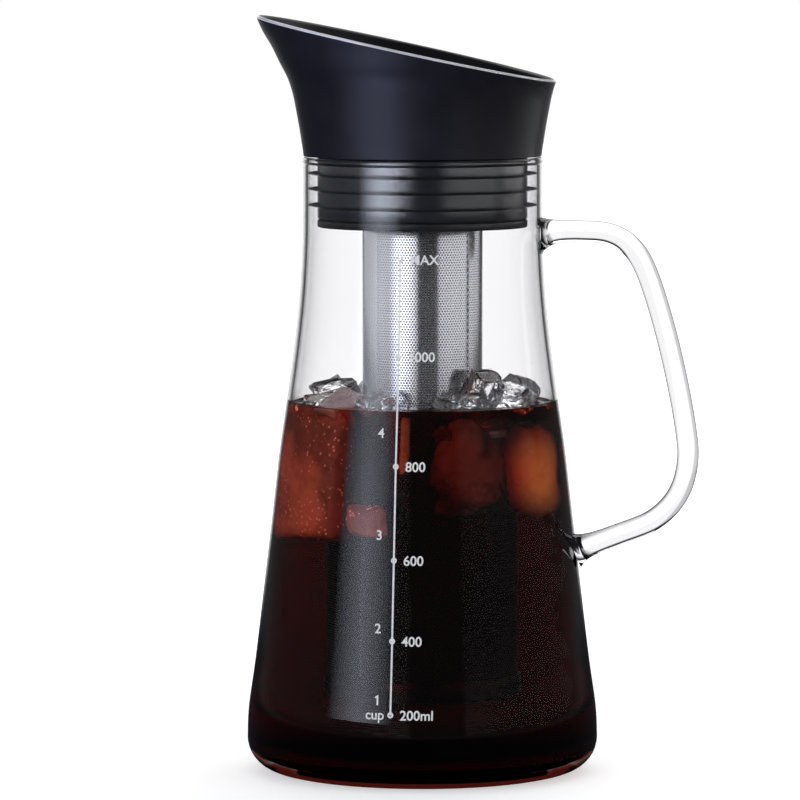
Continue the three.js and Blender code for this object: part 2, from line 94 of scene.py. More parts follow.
class Graph:
    """Builds a node tree in short steps."""

    def __init__(self, tree: bpy.types.NodeTree) -> None:
        """Starts on the tree of a material, a world or a group."""
        self.tree = tree

    def add(self, kind: str, inputs: dict | None = None, **settings: object) -> bpy.types.Node:
        """Adds a node.

        Args:
            kind: The shader node's type name, less its common start.
            inputs: Values or sockets for its inputs, by name or number.
            **settings: Its own settings.

        Returns:
            The node.
        """
        node = self.tree.nodes.new("ShaderNode" + kind)
        for key, value in settings.items():
            setattr(node, key, value)
        for key, value in (inputs or {}).items():
            self.feed(node.inputs[key], value)
        return node

    def feed(self, socket: Socket, value: object) -> None:
        """Links a socket or sets a value into an input.

        Args:
            socket: The input.
            value: The socket or the value.
        """
        if isinstance(value, bpy.types.NodeSocket):
            self.tree.links.new(value, socket)
        elif isinstance(value, tuple) and len(value) == 3 and socket.type == "RGBA":
            socket.default_value = (*value, 1.0)
        else:
            socket.default_value = value

    def math(self, operation: str, *values: object, clamp: bool = False) -> Socket:
        """Adds a Math node on the given values and returns its result."""
        inputs = dict(enumerate(values))
        return self.add("Math", inputs, operation=operation, use_clamp=clamp).outputs[0]

    def times(self, first: object, second: object) -> Socket:
        """Returns the product of two values."""
        return self.math("MULTIPLY", first, second)

    def above(self, value: object, limit: float) -> Socket:
        """Returns 1 where a value is above a limit and 0 elsewhere."""
        return self.math("GREATER_THAN", value, limit)

    def reach(self, first: object, second: object) -> Socket:
        """Returns the long side of a right triangle from its two short ones."""
        squares = self.math("ADD", self.times(first, first), self.times(second, second))
        return self.math("SQRT", squares)

    def mix(self, share: object, first: object, second: object) -> Socket:
        """Blends two colours by a share and returns the result."""
        return self.add("Mix", {0: share, 6: first, 7: second}, data_type="RGBA").outputs[2]

    def choose(self, share: object, first: object, second: object) -> Socket:
        """Blends two numbers by a share and returns the result."""
        return self.add("Mix", {0: share, 2: first, 3: second}, data_type="FLOAT").outputs[0]

    def ramp(self, value: object, low: float, high: float, to_low: float = 0.0,
             to_high: float = 1.0) -> Socket:
        """Maps a value smoothly from one range to another.

        Args:
            value: The value or socket.
            low: Where the source range starts.
            high: Where it ends.
            to_low: The result at its start.
            to_high: The result at its end.

        Returns:
            The mapped value.
        """
        inputs = dict(enumerate((value, low, high, to_low, to_high)))
        return self.add("MapRange", inputs, interpolation_type="SMOOTHSTEP").outputs[0]

    def noise(self, vector: object, scale: object, detail: float = 2.0,
              roughness: float = 0.5) -> Socket:
        """Adds a noise.

        Args:
            vector: Where it is read.
            scale: How fine it is.
            detail: How many finer layers it has.
            roughness: How strong they are.

        Returns:
            The noise's value.
        """
        inputs = {"Vector": vector, "Scale": scale, "Detail": detail, "Roughness": roughness}
        return self.add("TexNoise", inputs).outputs[0]

    def place(self) -> Socket:
        """Returns the piece's own coordinates, in metres."""
        return self.add("TexCoord").outputs["Object"]

    def split(self, vector: object) -> Sequence[Socket]:
        """Returns the three parts of a vector."""
        return self.add("SeparateXYZ", {0: vector}).outputs

    def along(self, spot: object, way: Sequence[float]) -> Socket:
        """Returns how far a spot or direction goes along a way."""
        node = self.add("VectorMath", {0: spot, 1: tuple(way)}, operation="DOT_PRODUCT")
        return node.outputs["Value"]

    def facing(self) -> Socket:
        """Returns how far the surface turns away from the ray, from 0 to 1."""
        return self.add("LayerWeight", {"Blend": 0.5}).outputs["Facing"]

    def bump(self, height: object, strength: float, distance: float) -> Socket:
        """Turns a height into a normal.

        Args:
            height: The height.
            strength: How much of it shows.
            distance: How tall a height of 1 is, in metres.

        Returns:
            The normal.
        """
        inputs = {"Height": height, "Strength": strength, "Distance": distance}
        return self.add("Bump", inputs).outputs[0]

    def effect(self, tree: bpy.types.NodeTree, inputs: dict | None = None) -> dict[str, Socket]:
        """Adds a shared effect with its inputs and returns its outputs."""
        return self.add("Group", inputs, node_tree=tree).outputs

    def surface(self, inputs: dict, shadow: Colour | None = None,
                volume: Socket | None = None) -> None:
        """Adds the main shader and makes it the surface.

        Args:
            inputs: The shader's inputs.
            shadow: What its shadow lets through, where it is clear.
            volume: What fills it.
        """
        shader = self.add("BsdfPrincipled", inputs).outputs[0]
        if shadow:
            clear = self.add("BsdfTransparent", {"Color": shadow}).outputs[0]
            is_shadow = self.add("LightPath").outputs["Is Shadow Ray"]
            shader = self.add("MixShader", {0: is_shadow, 1: shader, 2: clear}).outputs[0]
        output = self.add("OutputMaterial", {"Surface": shader})
        if volume is not None:
            self.feed(output.inputs["Volume"], volume)


def new_material(name: str) -> tuple[bpy.types.Material, Graph]:
    """Makes an empty node material.

    Args:
        name: Its name.

    Returns:
        The material and the graph on its tree.
    """
    material = bpy.data.materials.new(name)
    material.use_nodes = True
    material.node_tree.nodes.clear()
    return material, Graph(material.node_tree)


def new_group(name: str, inputs: dict[str, float], outputs: Sequence[str],
              ) -> tuple[Graph, dict[str, Socket], dict[str, Socket]]:
    """Makes an empty shader group.

    Args:
        name: The group's name.
        inputs: Its number inputs and their defaults.
        outputs: Its number outputs.

    Returns:
        Its graph, the sockets that it is given and those that it has to be fed.
    """
    tree = bpy.data.node_groups.new(name, "ShaderNodeTree")
    for key, value in inputs.items():
        socket = tree.interface.new_socket(key, in_out="INPUT", socket_type="NodeSocketFloat")
        socket.default_value = value
    for key in outputs:
        tree.interface.new_socket(key, in_out="OUTPUT", socket_type="NodeSocketFloat")
    given = tree.nodes.new("NodeGroupInput").outputs
    return Graph(tree), given, tree.nodes.new("NodeGroupOutput").inputs


@cache
def moulded_grain() -> bpy.types.NodeTree:
    """Builds the fine pebbling of a moulded surface.

    Returns:
        The shared group.
    """
    graph, given, made = new_group("moulded_grain", {"Scale": 1800.0}, ["Height", "Tone"])
    place = graph.place()
    graph.feed(made["Height"], graph.noise(place, given["Scale"], 3.0))
    graph.feed(made["Tone"], graph.noise(place, 38.0, 3.0, 0.6))
    return graph.tree


@cache
def handling_marks() -> bpy.types.NodeTree:
    """Builds the faint smears that wiping and handling leave.

    Returns:
        The shared group.
    """
    graph, given, made = new_group("handling_marks", {"Amount": 0.5}, ["Haze"])
    place = graph.place()
    stretched = graph.add("Mapping", {"Vector": place, "Scale": (1.0, 1.0, 0.35)}).outputs[0]
    cloud = graph.ramp(graph.noise(stretched, 46.0, 5.0, 0.62), 0.48, 0.74)
    patch = graph.ramp(graph.noise(place, 17.0, 1.0), 0.4, 0.7)
    graph.feed(made["Haze"], graph.times(graph.times(cloud, patch), given["Amount"]))
    return graph.tree


@cache
def etched_holes() -> bpy.types.NodeTree:
    """Builds the staggered rows of etched holes round a tube.

    Returns:
        The shared group.
    """
    sizes = {"Holes Around": 128.0, "Row Pitch": 0.00082, "Hole Radius": 0.00027, "Radius": 0.0194}
    graph, given, made = new_group("etched_holes", sizes, ["Hole", "Angle"])
    x, y, z = graph.split(graph.place())
    angle = graph.math("ARCTAN2", x, graph.times(y, -1.0))
    turns = graph.math("DIVIDE", angle, math.tau)
    rows = graph.math("DIVIDE", z, given["Row Pitch"])
    odd = graph.math("FLOORED_MODULO", graph.math("FLOOR", rows), 2.0)
    along = graph.math("ADD", graph.times(turns, given["Holes Around"]), graph.times(odd, 0.5))
    pitch = graph.math("DIVIDE", graph.times(given["Radius"], math.tau), given["Holes Around"])
    across, up = (graph.times(graph.math("SUBTRACT", graph.math("FRACT", count), 0.5), step)
                  for count, step in ((along, pitch), (rows, given["Row Pitch"])))
    share = graph.math("DIVIDE", graph.reach(across, up), given["Hole Radius"])
    graph.feed(made["Hole"], graph.ramp(share, 1.18, 0.82))
    graph.feed(made["Angle"], graph.math("DEGREES", angle))
    return graph.tree


@cache
def turned_rings() -> bpy.types.NodeTree:
    """Builds the fine rings that turning or spinning leaves on metal.

    Returns:
        The shared group.
    """
    graph, _, made = new_group("turned_rings", {}, ["Height", "Tone"])
    place = graph.place()
    x, y, z = graph.split(place)
    lines = graph.add("CombineXYZ", {0: graph.reach(x, y), 1: z}).outputs[0]
    graph.feed(made["Height"], graph.noise(lines, 900.0, 4.0, 0.7))
    graph.feed(made["Tone"], graph.noise(place, 60.0, 3.0))
    return graph.tree


# Finishes


@dataclass(frozen=True)
class Finish:
    """A surface of the coffee maker or of what it holds, with the record's finish for it."""

    name: str
    slot: Slot | None

    @cache
    def material(self) -> bpy.types.Material:
        """Builds the material on first use.

        Returns:
            The material.
        """
        material, graph = new_material(self.name)
        self.dress(graph)
        return material

    def dress(self, graph: Graph) -> None:
        """Lays the finish's nodes."""
        raise NotImplementedError


@dataclass(frozen=True)
class ClearGlass(Finish):
    """Blown borosilicate glass, with painted shade that darkens it where it is seen edge on."""

    index: float = 1.45
    body: Colour = (0.985, 0.984, 0.997)
    # edge is the painted shade's colour where the glass is seen edge on; the two shares below say
    # where on the facing scale that shade begins and where it is full.
    edge: Colour = (0.12, 0.12, 0.14)
    edge_shade_from: float = 0.9
    edge_shade_to: float = 0.98
    ripple: float = 0.03
    # foot is a painted dark-red shade on the lowest faces of the base, and foot_haze roughens them.
    foot: Colour = (0.985, 0.984, 0.997)
    foot_haze: float = 0.0
    shadow: Colour = (0.96, 0.97, 0.97)

    def dress(self, graph: Graph) -> None:
        """Lays the glass, its painted edge shade, the painted dark shade on its foot and its wiping
        haze.

        Args:
            graph: The graph of the empty material.
        """
        place = graph.place()
        # Painted shade: the tint turns towards the edge colour where the surface is seen edge on.
        tint = graph.mix(graph.ramp(graph.facing(), self.edge_shade_from, self.edge_shade_to),
                         self.body, self.edge)
        # Painted shade on the foot: faces below 9 mm turn towards the foot colour, fully so below 4
        # mm.
        low = graph.ramp(graph.split(place)[2], 0.009, 0.004)
        haze = graph.effect(handling_marks(), {"Amount": 0.02})["Haze"]
        graph.surface({
            "Base Color": graph.mix(low, tint, self.foot), "IOR": self.index,
            "Roughness": graph.math("MAXIMUM", haze, graph.times(low, self.foot_haze)),
            "Transmission Weight": 1.0,
            "Normal": graph.bump(graph.noise(place, 22.0, 1.0), self.ripple, 0.002),
        }, self.shadow)


@dataclass(frozen=True)
class Moulded(Finish):
    """Moulded plastic or silicone with a fine grain, uneven sheen and a little wiping haze."""

    dark: Colour
    light: Colour
    roughness: float
    specular: float
    grain_strength: float = 0.12
    grain_scale: float = 1800.0
    roughness_spread: float = 0.08

    def dress(self, graph: Graph) -> None:
        """Lays the two tones, the uneven roughness and the grain.

        Args:
            graph: The graph of the empty material.
        """
        grain = graph.effect(moulded_grain(), {"Scale": self.grain_scale})
        haze = graph.effect(handling_marks(), {"Amount": 0.5})["Haze"]
        tone = graph.ramp(grain["Tone"], 0.3, 0.7)
        shade = graph.math("ADD", tone, haze, clamp=True)
        graph.surface({
            "Base Color": graph.mix(shade, self.dark, self.light),
            "Roughness": graph.math("ADD", graph.times(tone, self.roughness_spread),
                                    self.roughness - self.roughness_spread / 2),
            "Specular IOR Level": self.specular,
            "Normal": graph.bump(grain["Height"], self.grain_strength, 0.0002),
        })


@dataclass(frozen=True)
class TurnedSteel(Finish):
    """Stainless steel with fine turning rings."""

    roughness: float = 0.24
    spread: float = 0.18
    colour: Colour = (0.56, 0.56, 0.58)
    shade: Colour = (0.38, 0.38, 0.41)

    def dress(self, graph: Graph) -> None:
        """Lays the steel's tones and the rings in its roughness and height.

        Args:
            graph: The graph of the empty material.
        """
        rings = graph.effect(turned_rings())
        tone = graph.ramp(rings["Tone"], 0.35, 0.7)
        graph.surface({
            "Base Color": graph.mix(tone, self.colour, self.shade), "Metallic": 1.0,
            "Roughness": graph.math("ADD", graph.times(rings["Height"], self.spread),
                                    self.roughness - self.spread / 2),
            "Normal": graph.bump(rings["Height"], 0.12, 0.0001),
        })


@dataclass(frozen=True)
class EtchedSteel(Finish):
    """Steel sheet rolled into a tube, with staggered holes, a plain overlap and a welded seam."""

    radius: float = 19.4
    holes_around: float = 128.0
    row_pitch: float = 0.82
    hole_radius: float = 0.27
    plain_from: float = -74.0
    plain_to: float = -44.0
    margin: float = 0.8
    seam_at: float = 53.0
    colour: Colour = (0.62, 0.62, 0.65)
    smudge: Colour = (0.42, 0.41, 0.43)
    weld: Colour = (0.2, 0.19, 0.2)
    # The holes are painted near black, painted shade for the dark inside of the tube behind them.
    hole: Colour = (0.06, 0.06, 0.07)

    def dress(self, graph: Graph) -> None:
        """Lays the sheet, its holes off the overlap, painted near black as shade, and the row of
        welds along the seam.

        Args:
            graph: The graph of the empty material.
        """
        holes = graph.effect(etched_holes(), {
            "Holes Around": self.holes_around, "Row Pitch": self.row_pitch * MM,
            "Hole Radius": self.hole_radius * MM, "Radius": self.radius * MM})
        angle = holes["Angle"]
        before = graph.ramp(angle, self.plain_from, self.plain_from + self.margin, 1.0, 0.0)
        after = graph.ramp(angle, self.plain_to, self.plain_to + self.margin)
        pierced = graph.times(holes["Hole"], graph.math("ADD", before, after, clamp=True))
        off_seam = graph.math("ABSOLUTE", graph.math("SUBTRACT", angle, self.seam_at))
        spots = graph.math("PINGPONG", graph.split(graph.place())[2], 0.0011)
        spot = graph.times(graph.ramp(off_seam, 1.9, 0.6), graph.ramp(spots, 0.0007, 0.0004))
        haze = graph.effect(handling_marks(), {"Amount": 0.4})["Haze"]
        sheet = graph.mix(spot, graph.mix(haze, self.colour, self.smudge), self.weld)
        height = graph.math("SUBTRACT", graph.times(spot, -0.4), pierced)
        graph.surface({
            # Painted shade: the holes take the near-black hole colour.
            "Base Color": graph.mix(pierced, sheet, self.hole),
            "Metallic": graph.math("SUBTRACT", 1.0, graph.times(pierced, 0.8)),
            "Roughness": graph.ramp(pierced, 0.0, 1.0, 0.16, 0.7),
            "Normal": graph.bump(height, 0.5, 0.0002),
        })


@dataclass(frozen=True)
class Enamel(Finish):
    """White enamel printed on the glass, slightly thin in places."""

    thick: Colour = (0.92, 0.92, 0.92)
    thin: Colour = (0.74, 0.74, 0.75)

    def dress(self, graph: Graph) -> None:
        """Lays the print with its thin places.

        Args:
            graph: The graph of the empty material.
        """
        worn = graph.ramp(graph.noise(graph.place(), 1400.0, 3.0, 0.7), 0.35, 0.65)
        tone = graph.effect(moulded_grain())["Tone"]
        graph.surface({"Base Color": graph.mix(worn, self.thick, self.thin),
                       "Roughness": graph.ramp(tone, 0.2, 0.8, 0.35, 0.5)})


@dataclass(frozen=True)
class ColdCoffee(Finish):
    """Clear cold coffee: red-brown where it is thin and black where it is deep."""

    passes: Colour = (0.833, 0.35, 0.2)
    density: float = 300.0
    index: float = 1.12

    def dress(self, graph: Graph) -> None:
        """Lays the liquid's skin and its depth.

        Args:
            graph: The graph of the empty material.
        """
        white = (1.0, 1.0, 1.0)
        depth = graph.add("VolumeAbsorption", {"Color": self.passes, "Density": self.density})
        graph.surface({
            "Base Color": white, "IOR": self.index, "Roughness": 0.0, "Transmission Weight": 1.0,
            "Normal": graph.bump(graph.noise(graph.place(), 55.0, 2.0), 0.12, 0.002),
        }, white, depth.outputs[0])


@dataclass(frozen=True)
class Ice(Finish):
    """Ice with trapped bubbles and fine cracks, clear or coloured red-brown, with painted shade at
    its edges.
    """

    clear: float
    white: Colour
    grey: Colour
    bubbles: float = 0.0
    patchy: float = 1.0
    # Painted shade: the ice darkens where it is seen edge on, between these two facing shares.
    rim_shade_from: float = 0.3
    rim_shade_to: float = 0.8
    # Painted glow: beyond this centre, over this reach, the ice darkens.
    glow_centre: tuple[float, float, float] = (0, 0, 0)
    glow_reach: float = 1.0
    bubble: Colour = (0.9, 0.7, 0.66)
    # The colour of the random dark patches and of the painted shade.
    patch_and_shade_colour: Colour = (0.03, 0.01, 0.01)

    def dress(self, graph: Graph) -> None:
        """Lays the clouds, the cracks, the bubbles, random dark patches, and painted shade towards
        the edges and away from a painted glow's centre.

        Args:
            graph: The graph of the empty material.
        """
        place = graph.place()
        cloud = graph.ramp(graph.noise(place, 75.0, 5.0, 0.65), 0.38, 0.66)
        cracks = graph.add("TexVoronoi", {"Vector": place, "Scale": 120.0},
                           feature="DISTANCE_TO_EDGE").outputs["Distance"]
        height = graph.math("ADD", graph.times(graph.ramp(cracks, 0.05, 0.0), 0.4),
                            graph.noise(place, 160.0, 3.0))
        cells = graph.add("TexVoronoi", {"Vector": place, "Scale": 620.0}).outputs["Distance"]
        swarm = graph.ramp(graph.noise(place, 90.0, 2.0), 0.46, 0.6)
        dots = graph.times(graph.ramp(cells, 0.3, 0.2), graph.times(swarm, self.bubbles))
        # Painted shade towards the edges; the random patches below darken it as real tone.
        rim = graph.ramp(graph.facing(), self.rim_shade_from, self.rim_shade_to)
        patch = graph.ramp(graph.noise(place, 42.0, 2.0), 0.56, 0.4, 0.0, self.patchy)
        # Painted glow: darker with distance from the glow centre.
        spread = graph.add("VectorMath", {0: place, 1: self.glow_centre}, operation="DISTANCE")
        glow_falloff = graph.ramp(spread.outputs["Value"], self.glow_reach * 0.2, self.glow_reach)
        patches_and_painted_shade = graph.math("MAXIMUM", graph.math("MAXIMUM", rim, patch), glow_falloff)
        body = graph.mix(graph.times(patches_and_painted_shade, 1.0 - self.clear),
                         graph.mix(cloud, self.white, self.grey), self.patch_and_shade_colour)
        graph.surface({
            "Base Color": graph.mix(dots, body, self.bubble), "IOR": 1.31,
            "Roughness": graph.ramp(cloud, 0.0, 1.0, 0.02, 0.12),
            "Transmission Weight": self.clear, "Normal": graph.bump(height, 0.5, 0.001),
        })


class Stain(Enum):
    """The looks of the ice, from clear to red-brown, one of them a painted orange glow."""

    CLEAR = Ice("clear_ice", None, 1.0, (1.0, 1.0, 1.0), (0.93, 0.93, 0.93))
    FROSTED = Ice("frosted_ice", None, 0.0, (0.85, 0.66, 0.66), (0.55, 0.33, 0.33), 1.0, 0.6)
    ROSE = Ice("rose_ice", None, 0.0, (0.62, 0.33, 0.24), (0.36, 0.19, 0.13), 1.0, 0.6, 0.7, 1.0)
    # A painted glow: bright orange round its centre, fading into the painted shade colour.
    AMBER = Ice("amber_ice", None, 0.0, (1.0, 0.42, 0.1), (0.85, 0.3, 0.06), 0.0, 0.0, 0.2, 0.9,
                (0.0365, -0.0195, 0.0985), 0.017)
    RUST = Ice("rust_ice", None, 0.0, (0.5, 0.22, 0.09), (0.28, 0.12, 0.05), 0.0, 0.3, 0.2, 0.8)
    BROWN = Ice("brown_ice", None, 0.0, (0.25, 0.25, 0.26), (0.06, 0.06, 0.06))


# The dark red foot colours of these glass finishes are painted shade on the base.
GLASS = ClearGlass("blown_glass", Slot.GLASS, foot=(0.6, 0.16, 0.1), foot_haze=0.5)
# The handle's rod takes a wider band of painted edge shade.
ROD_GLASS = ClearGlass("drawn_glass", Slot.GLASS, edge_shade_from=0.5, edge_shade_to=0.85, ripple=0.12)
WET_GLASS_AND_FOOT_SHADE = ClearGlass("wetted_glass_and_foot_shade", Slot.GLASS, 1.02, edge=(0.98, 0.98, 0.99), ripple=0.0,
                       foot=(0.05, 0.006, 0.004))
PLASTIC = Moulded("satin_black_plastic", Slot.PLASTIC, (0.0055, 0.0055, 0.0085),
                  (0.0085, 0.0085, 0.013), 0.4, 0.27)
# The outer half of the spout's rim edge is painted pale grey, a painted highlight, on a glossier
# finish than the shell.
RIM_HIGHLIGHT = Moulded("polished_rim_painted_highlight", Slot.PLASTIC, (0.42, 0.42, 0.45), (0.62, 0.62, 0.65), 0.16,
              1.0, 0.02)
SILICONE = Moulded("black_silicone", Slot.SILICONE, (0.004, 0.004, 0.006), (0.007, 0.007, 0.010),
                   0.2, 0.62, 0.04, 900.0)
STEEL = TurnedSteel("turned_steel", Slot.STEEL)
FLAP_STEEL = TurnedSteel("flap_steel", Slot.STEEL, 0.2)
SCREEN = EtchedSteel("etched_screen", Slot.MESH)
LINER = EtchedSteel("etched_liner", Slot.MESH, 18.6, 240.0, 0.42, 0.13)
ENAMEL = Enamel("white_enamel", None)
COFFEE = ColdCoffee("cold_coffee", None)


# Outlines


def through(knots: Outline, steps: int) -> list[Point]:
    """Curves an outline smoothly through its knots.

    Args:
        knots: Points as (radius, height), in order.
        steps: How many points each stretch between two knots gets.

    Returns:
        The finer outline, ends included.
    """
    ends = [knots[0], *knots, knots[-1]]
    fine = []
    for before, start, end, after in zip(ends, ends[1:], ends[2:], ends[3:]):
        for step in range(steps):
            t = step / steps
            fine.append(tuple(
                0.5 * (2 * b + (c - a) * t + (2 * a - 5 * b + 4 * c - d) * t * t
                       + (3 * b - a - 3 * c + d) * t ** 3)
                for a, b, c, d in zip(before, start, end, after)
            ))
    return [*fine, tuple(knots[-1])]


def arc(middle: Point, radius: float, start: float, end: float, steps: int = 6) -> list[Point]:
    """Makes an arc of an outline.

    Args:
        middle: The arc's centre as (radius, height).
        radius: The arc's own radius.
        start: First angle in degrees, where 0 points outwards and 90 up.
        end: Last angle in degrees.
        steps: How many stretches the arc has.

    Returns:
        The arc's points, ends included.
    """
    angles = [math.radians(start + (end - start) * i / steps) for i in range(steps + 1)]
    return [(middle[0] + radius * math.cos(a), middle[1] + radius * math.sin(a)) for a in angles]


class Corner(Enum):
    """A corner of a section, by the angle that its rounding starts at."""

    TOP_OUT = 0
    TOP_IN = 90
    LOW_IN = 180
    LOW_OUT = 270

    def at(self, radius: float, height: float, edge: float, steps: int = 3) -> list[Point]:
        """Rounds the square corner of a section.

        Args:
            radius: The corner's own radius.
            height: Its height.
            edge: Radius of the rounding.
            steps: How many stretches the rounding has.

        Returns:
            The rounding's points.
        """
        out = -edge if self in (Corner.TOP_OUT, Corner.LOW_OUT) else edge
        up = -edge if self in (Corner.TOP_OUT, Corner.TOP_IN) else edge
        return arc((radius + out, height + up), edge, self.value, self.value + 90, steps)


def radius_at(outline: Outline, height: float) -> float:
    """Reads an outline's radius at a height.

    Args:
        outline: Points as (radius, height), from low to high.
        height: The height wanted.

    Returns:
        The radius there, in a straight line between the two nearest points.
    """
    if height <= outline[0][1]:
        return outline[0][0]
    for (r0, z0), (r1, z1) in zip(outline, outline[1:]):
        if height <= z1:
            return r0 + (r1 - r0) * (height - z0) / (z1 - z0)
    return outline[-1][0]


def rounded_ring(inner: float, outer: float, bottom: float, top: float, edge: float,
                 ) -> list[Point]:
    """Makes a ring's section with four rounded edges.

    Args:
        inner: Radius of the hole.
        outer: Radius of the outside.
        bottom: Height of the lower face.
        top: Height of the upper face.
        edge: Radius of the rounded edges.

    Returns:
        The closed outline.
    """
    return [*Corner.LOW_IN.at(inner, bottom, edge), *Corner.LOW_OUT.at(outer, bottom, edge),
            *Corner.TOP_OUT.at(outer, top, edge), *Corner.TOP_IN.at(inner, top, edge)]


def round_axis(radius: float, turn: float, height: float) -> Vector:
    """Returns a spot from its distance, its angle in radians from the front, and its height."""
    return Vector((radius * math.sin(turn), -radius * math.cos(turn), height))


# Meshes


class Shape:
    """A mesh in the making, in millimetres."""

    def __init__(self) -> None:
        """Starts with an empty mesh."""
        self.mesh = bmesh.new()

    def spin(self, outline: Outline, closed: bool = True, steps: int = ROUND_STEPS) -> "Shape":
        """Turns an outline once round the upright axis.

        Args:
            outline: Points as (radius, height).
            closed: Whether the last point joins the first.
            steps: How many steps the full turn has.

        Returns:
            This shape.
        """
        corners = [self.mesh.verts.new((radius, 0, height)) for radius, height in outline]
        edges = [self.mesh.edges.new(pair) for pair in zip(corners, corners[1:])]
        if closed:
            edges.append(self.mesh.edges.new((corners[-1], corners[0])))
        bmesh.ops.spin(self.mesh, geom=[*corners, *edges], cent=(0, 0, 0), axis=(0, 0, 1),
                       dvec=(0, 0, 0), angle=math.tau, steps=steps, use_merge=True,
                       use_normal_flip=False, use_duplicate=False)
        return self

    def block(self, size: Vector, middle: Vector, edge: float) -> "Shape":
        """Adds a block with rounded edges.

        Args:
            size: Its three sides.
            middle: Its centre.
            edge: Radius of its edges.

        Returns:
            This shape.
        """
        made = bmesh.ops.create_cube(self.mesh, size=1)["verts"]
        bmesh.ops.scale(self.mesh, vec=size, verts=made)
        bmesh.ops.translate(self.mesh, vec=middle, verts=made)
        edges = list({e for v in made for e in v.link_edges})
        bmesh.ops.bevel(self.mesh, geom=edges, offset=edge, segments=3, profile=0.5,
                        affect="EDGES", material=-1, clamp_overlap=True)
        return self

    def sweep(self, places: Sequence[Matrix], sides: int = 32) -> "Shape":
        """Carries a round section from place to place and closes both ends.

        Args:
            places: The section's frame at each place. It lies in X and Y, with radius 1.
            sides: How many sides the section has.

        Returns:
            This shape.
        """
        made = bmesh.ops.create_circle(self.mesh, cap_ends=True, segments=sides, radius=1,
                                       matrix=places[0])
        rim = list({e for v in made["verts"] for e in v.link_edges})
        for before, after in zip(places, places[1:]):
            grown = bmesh.ops.extrude_edge_only(self.mesh, edges=rim)["geom"]
            rim = [g for g in grown if isinstance(g, bmesh.types.BMEdge)]
            moved = [g for g in grown if isinstance(g, bmesh.types.BMVert)]
            bmesh.ops.transform(self.mesh, matrix=after @ before.inverted(), verts=moved)
        bmesh.ops.edgeloop_fill(self.mesh, edges=rim)
        return self

    def place(self, matrix: Matrix) -> "Shape":
        """Moves the whole shape by a matrix and returns it."""
        bmesh.ops.transform(self.mesh, matrix=matrix, verts=self.mesh.verts)
        return self

    def add(self, other: "Shape") -> "Shape":
        """Takes another shape in as a part of this one.

        Args:
            other: The shape to take in, which is used up.

        Returns:
            This shape.
        """
        carried = bpy.data.meshes.new("carried")
        other.mesh.to_mesh(carried)
        other.mesh.free()
        self.mesh.from_mesh(carried)
        bpy.data.meshes.remove(carried)
        return self

    def warp(self, move: Move) -> "Shape":
        """Moves every vertex.

        Args:
            move: The rule from its old place to its new one.

        Returns:
            This shape.
        """
        for vertex in self.mesh.verts:
            vertex.co = move(vertex.co)
        return self

    def finish(self, name: str, body: Body, finish: Finish, node: str = "", crease: float = 32.0,
               closed: bool = True,
               lining: tuple[Finish, Callable[[Vector], bool]] | None = None) -> None:
        """Closes the shape, turns it into a piece in metres and gives it to its body.

        Args:
            name: The piece's name.
            body: The body that it rides on.
            finish: Its finish.
            node: The CAD node that it replaces.
            crease: Angle in degrees past which an edge stays sharp.
            closed: Whether the mesh is a closed shell, whose faces are turned outwards.
            lining: A second finish, and the test of a face's middle that says where it goes.
        """
        bmesh.ops.remove_doubles(self.mesh, verts=self.mesh.verts, dist=0.0004)
        if closed:
            bmesh.ops.recalc_face_normals(self.mesh, faces=self.mesh.faces)
        for face in self.mesh.faces:
            face.smooth = True
            if lining and lining[1](face.calc_center_median()):
                face.material_index = 1
        for edge in self.mesh.edges:
            edge.smooth = edge.calc_face_angle(0.0) < math.radians(crease)
        bmesh.ops.scale(self.mesh, vec=(MM, MM, MM), verts=self.mesh.verts)
        data = bpy.data.meshes.new(name)
        self.mesh.to_mesh(data)
        self.mesh.free()
        data.materials.append(finish.material())
        if lining:
            data.materials.append(lining[0].material())
        piece = bpy.data.objects.new(name, data)
        bpy.context.scene.collection.objects.link(piece)
        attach(piece, body.value)
        if node:
            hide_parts(node)
        log.info("%s: %d faces, rides on %s", name, len(data.polygons), body.value)


def bar_along_y(radius: float, length: float, place: Vector, edge: float, steps: int) -> Shape:
    """Makes a round bar that lies along Y.

    Args:
        radius: Its radius.
        length: Its length.
        place: Its middle.
        edge: Radius of its two edges.
        steps: How many sides it has.

    Returns:
        The bar.
    """
    end = length / 2
    outline = [(0, -end), *Corner.LOW_OUT.at(radius, -end, edge),
               *Corner.TOP_OUT.at(radius, end, edge), (0, end)]
    bar = Shape().spin(outline, closed=False, steps=steps)
    return bar.place(Matrix.Translation(place) @ Matrix.Rotation(math.pi / 2, 4, "X"))


# Carafe


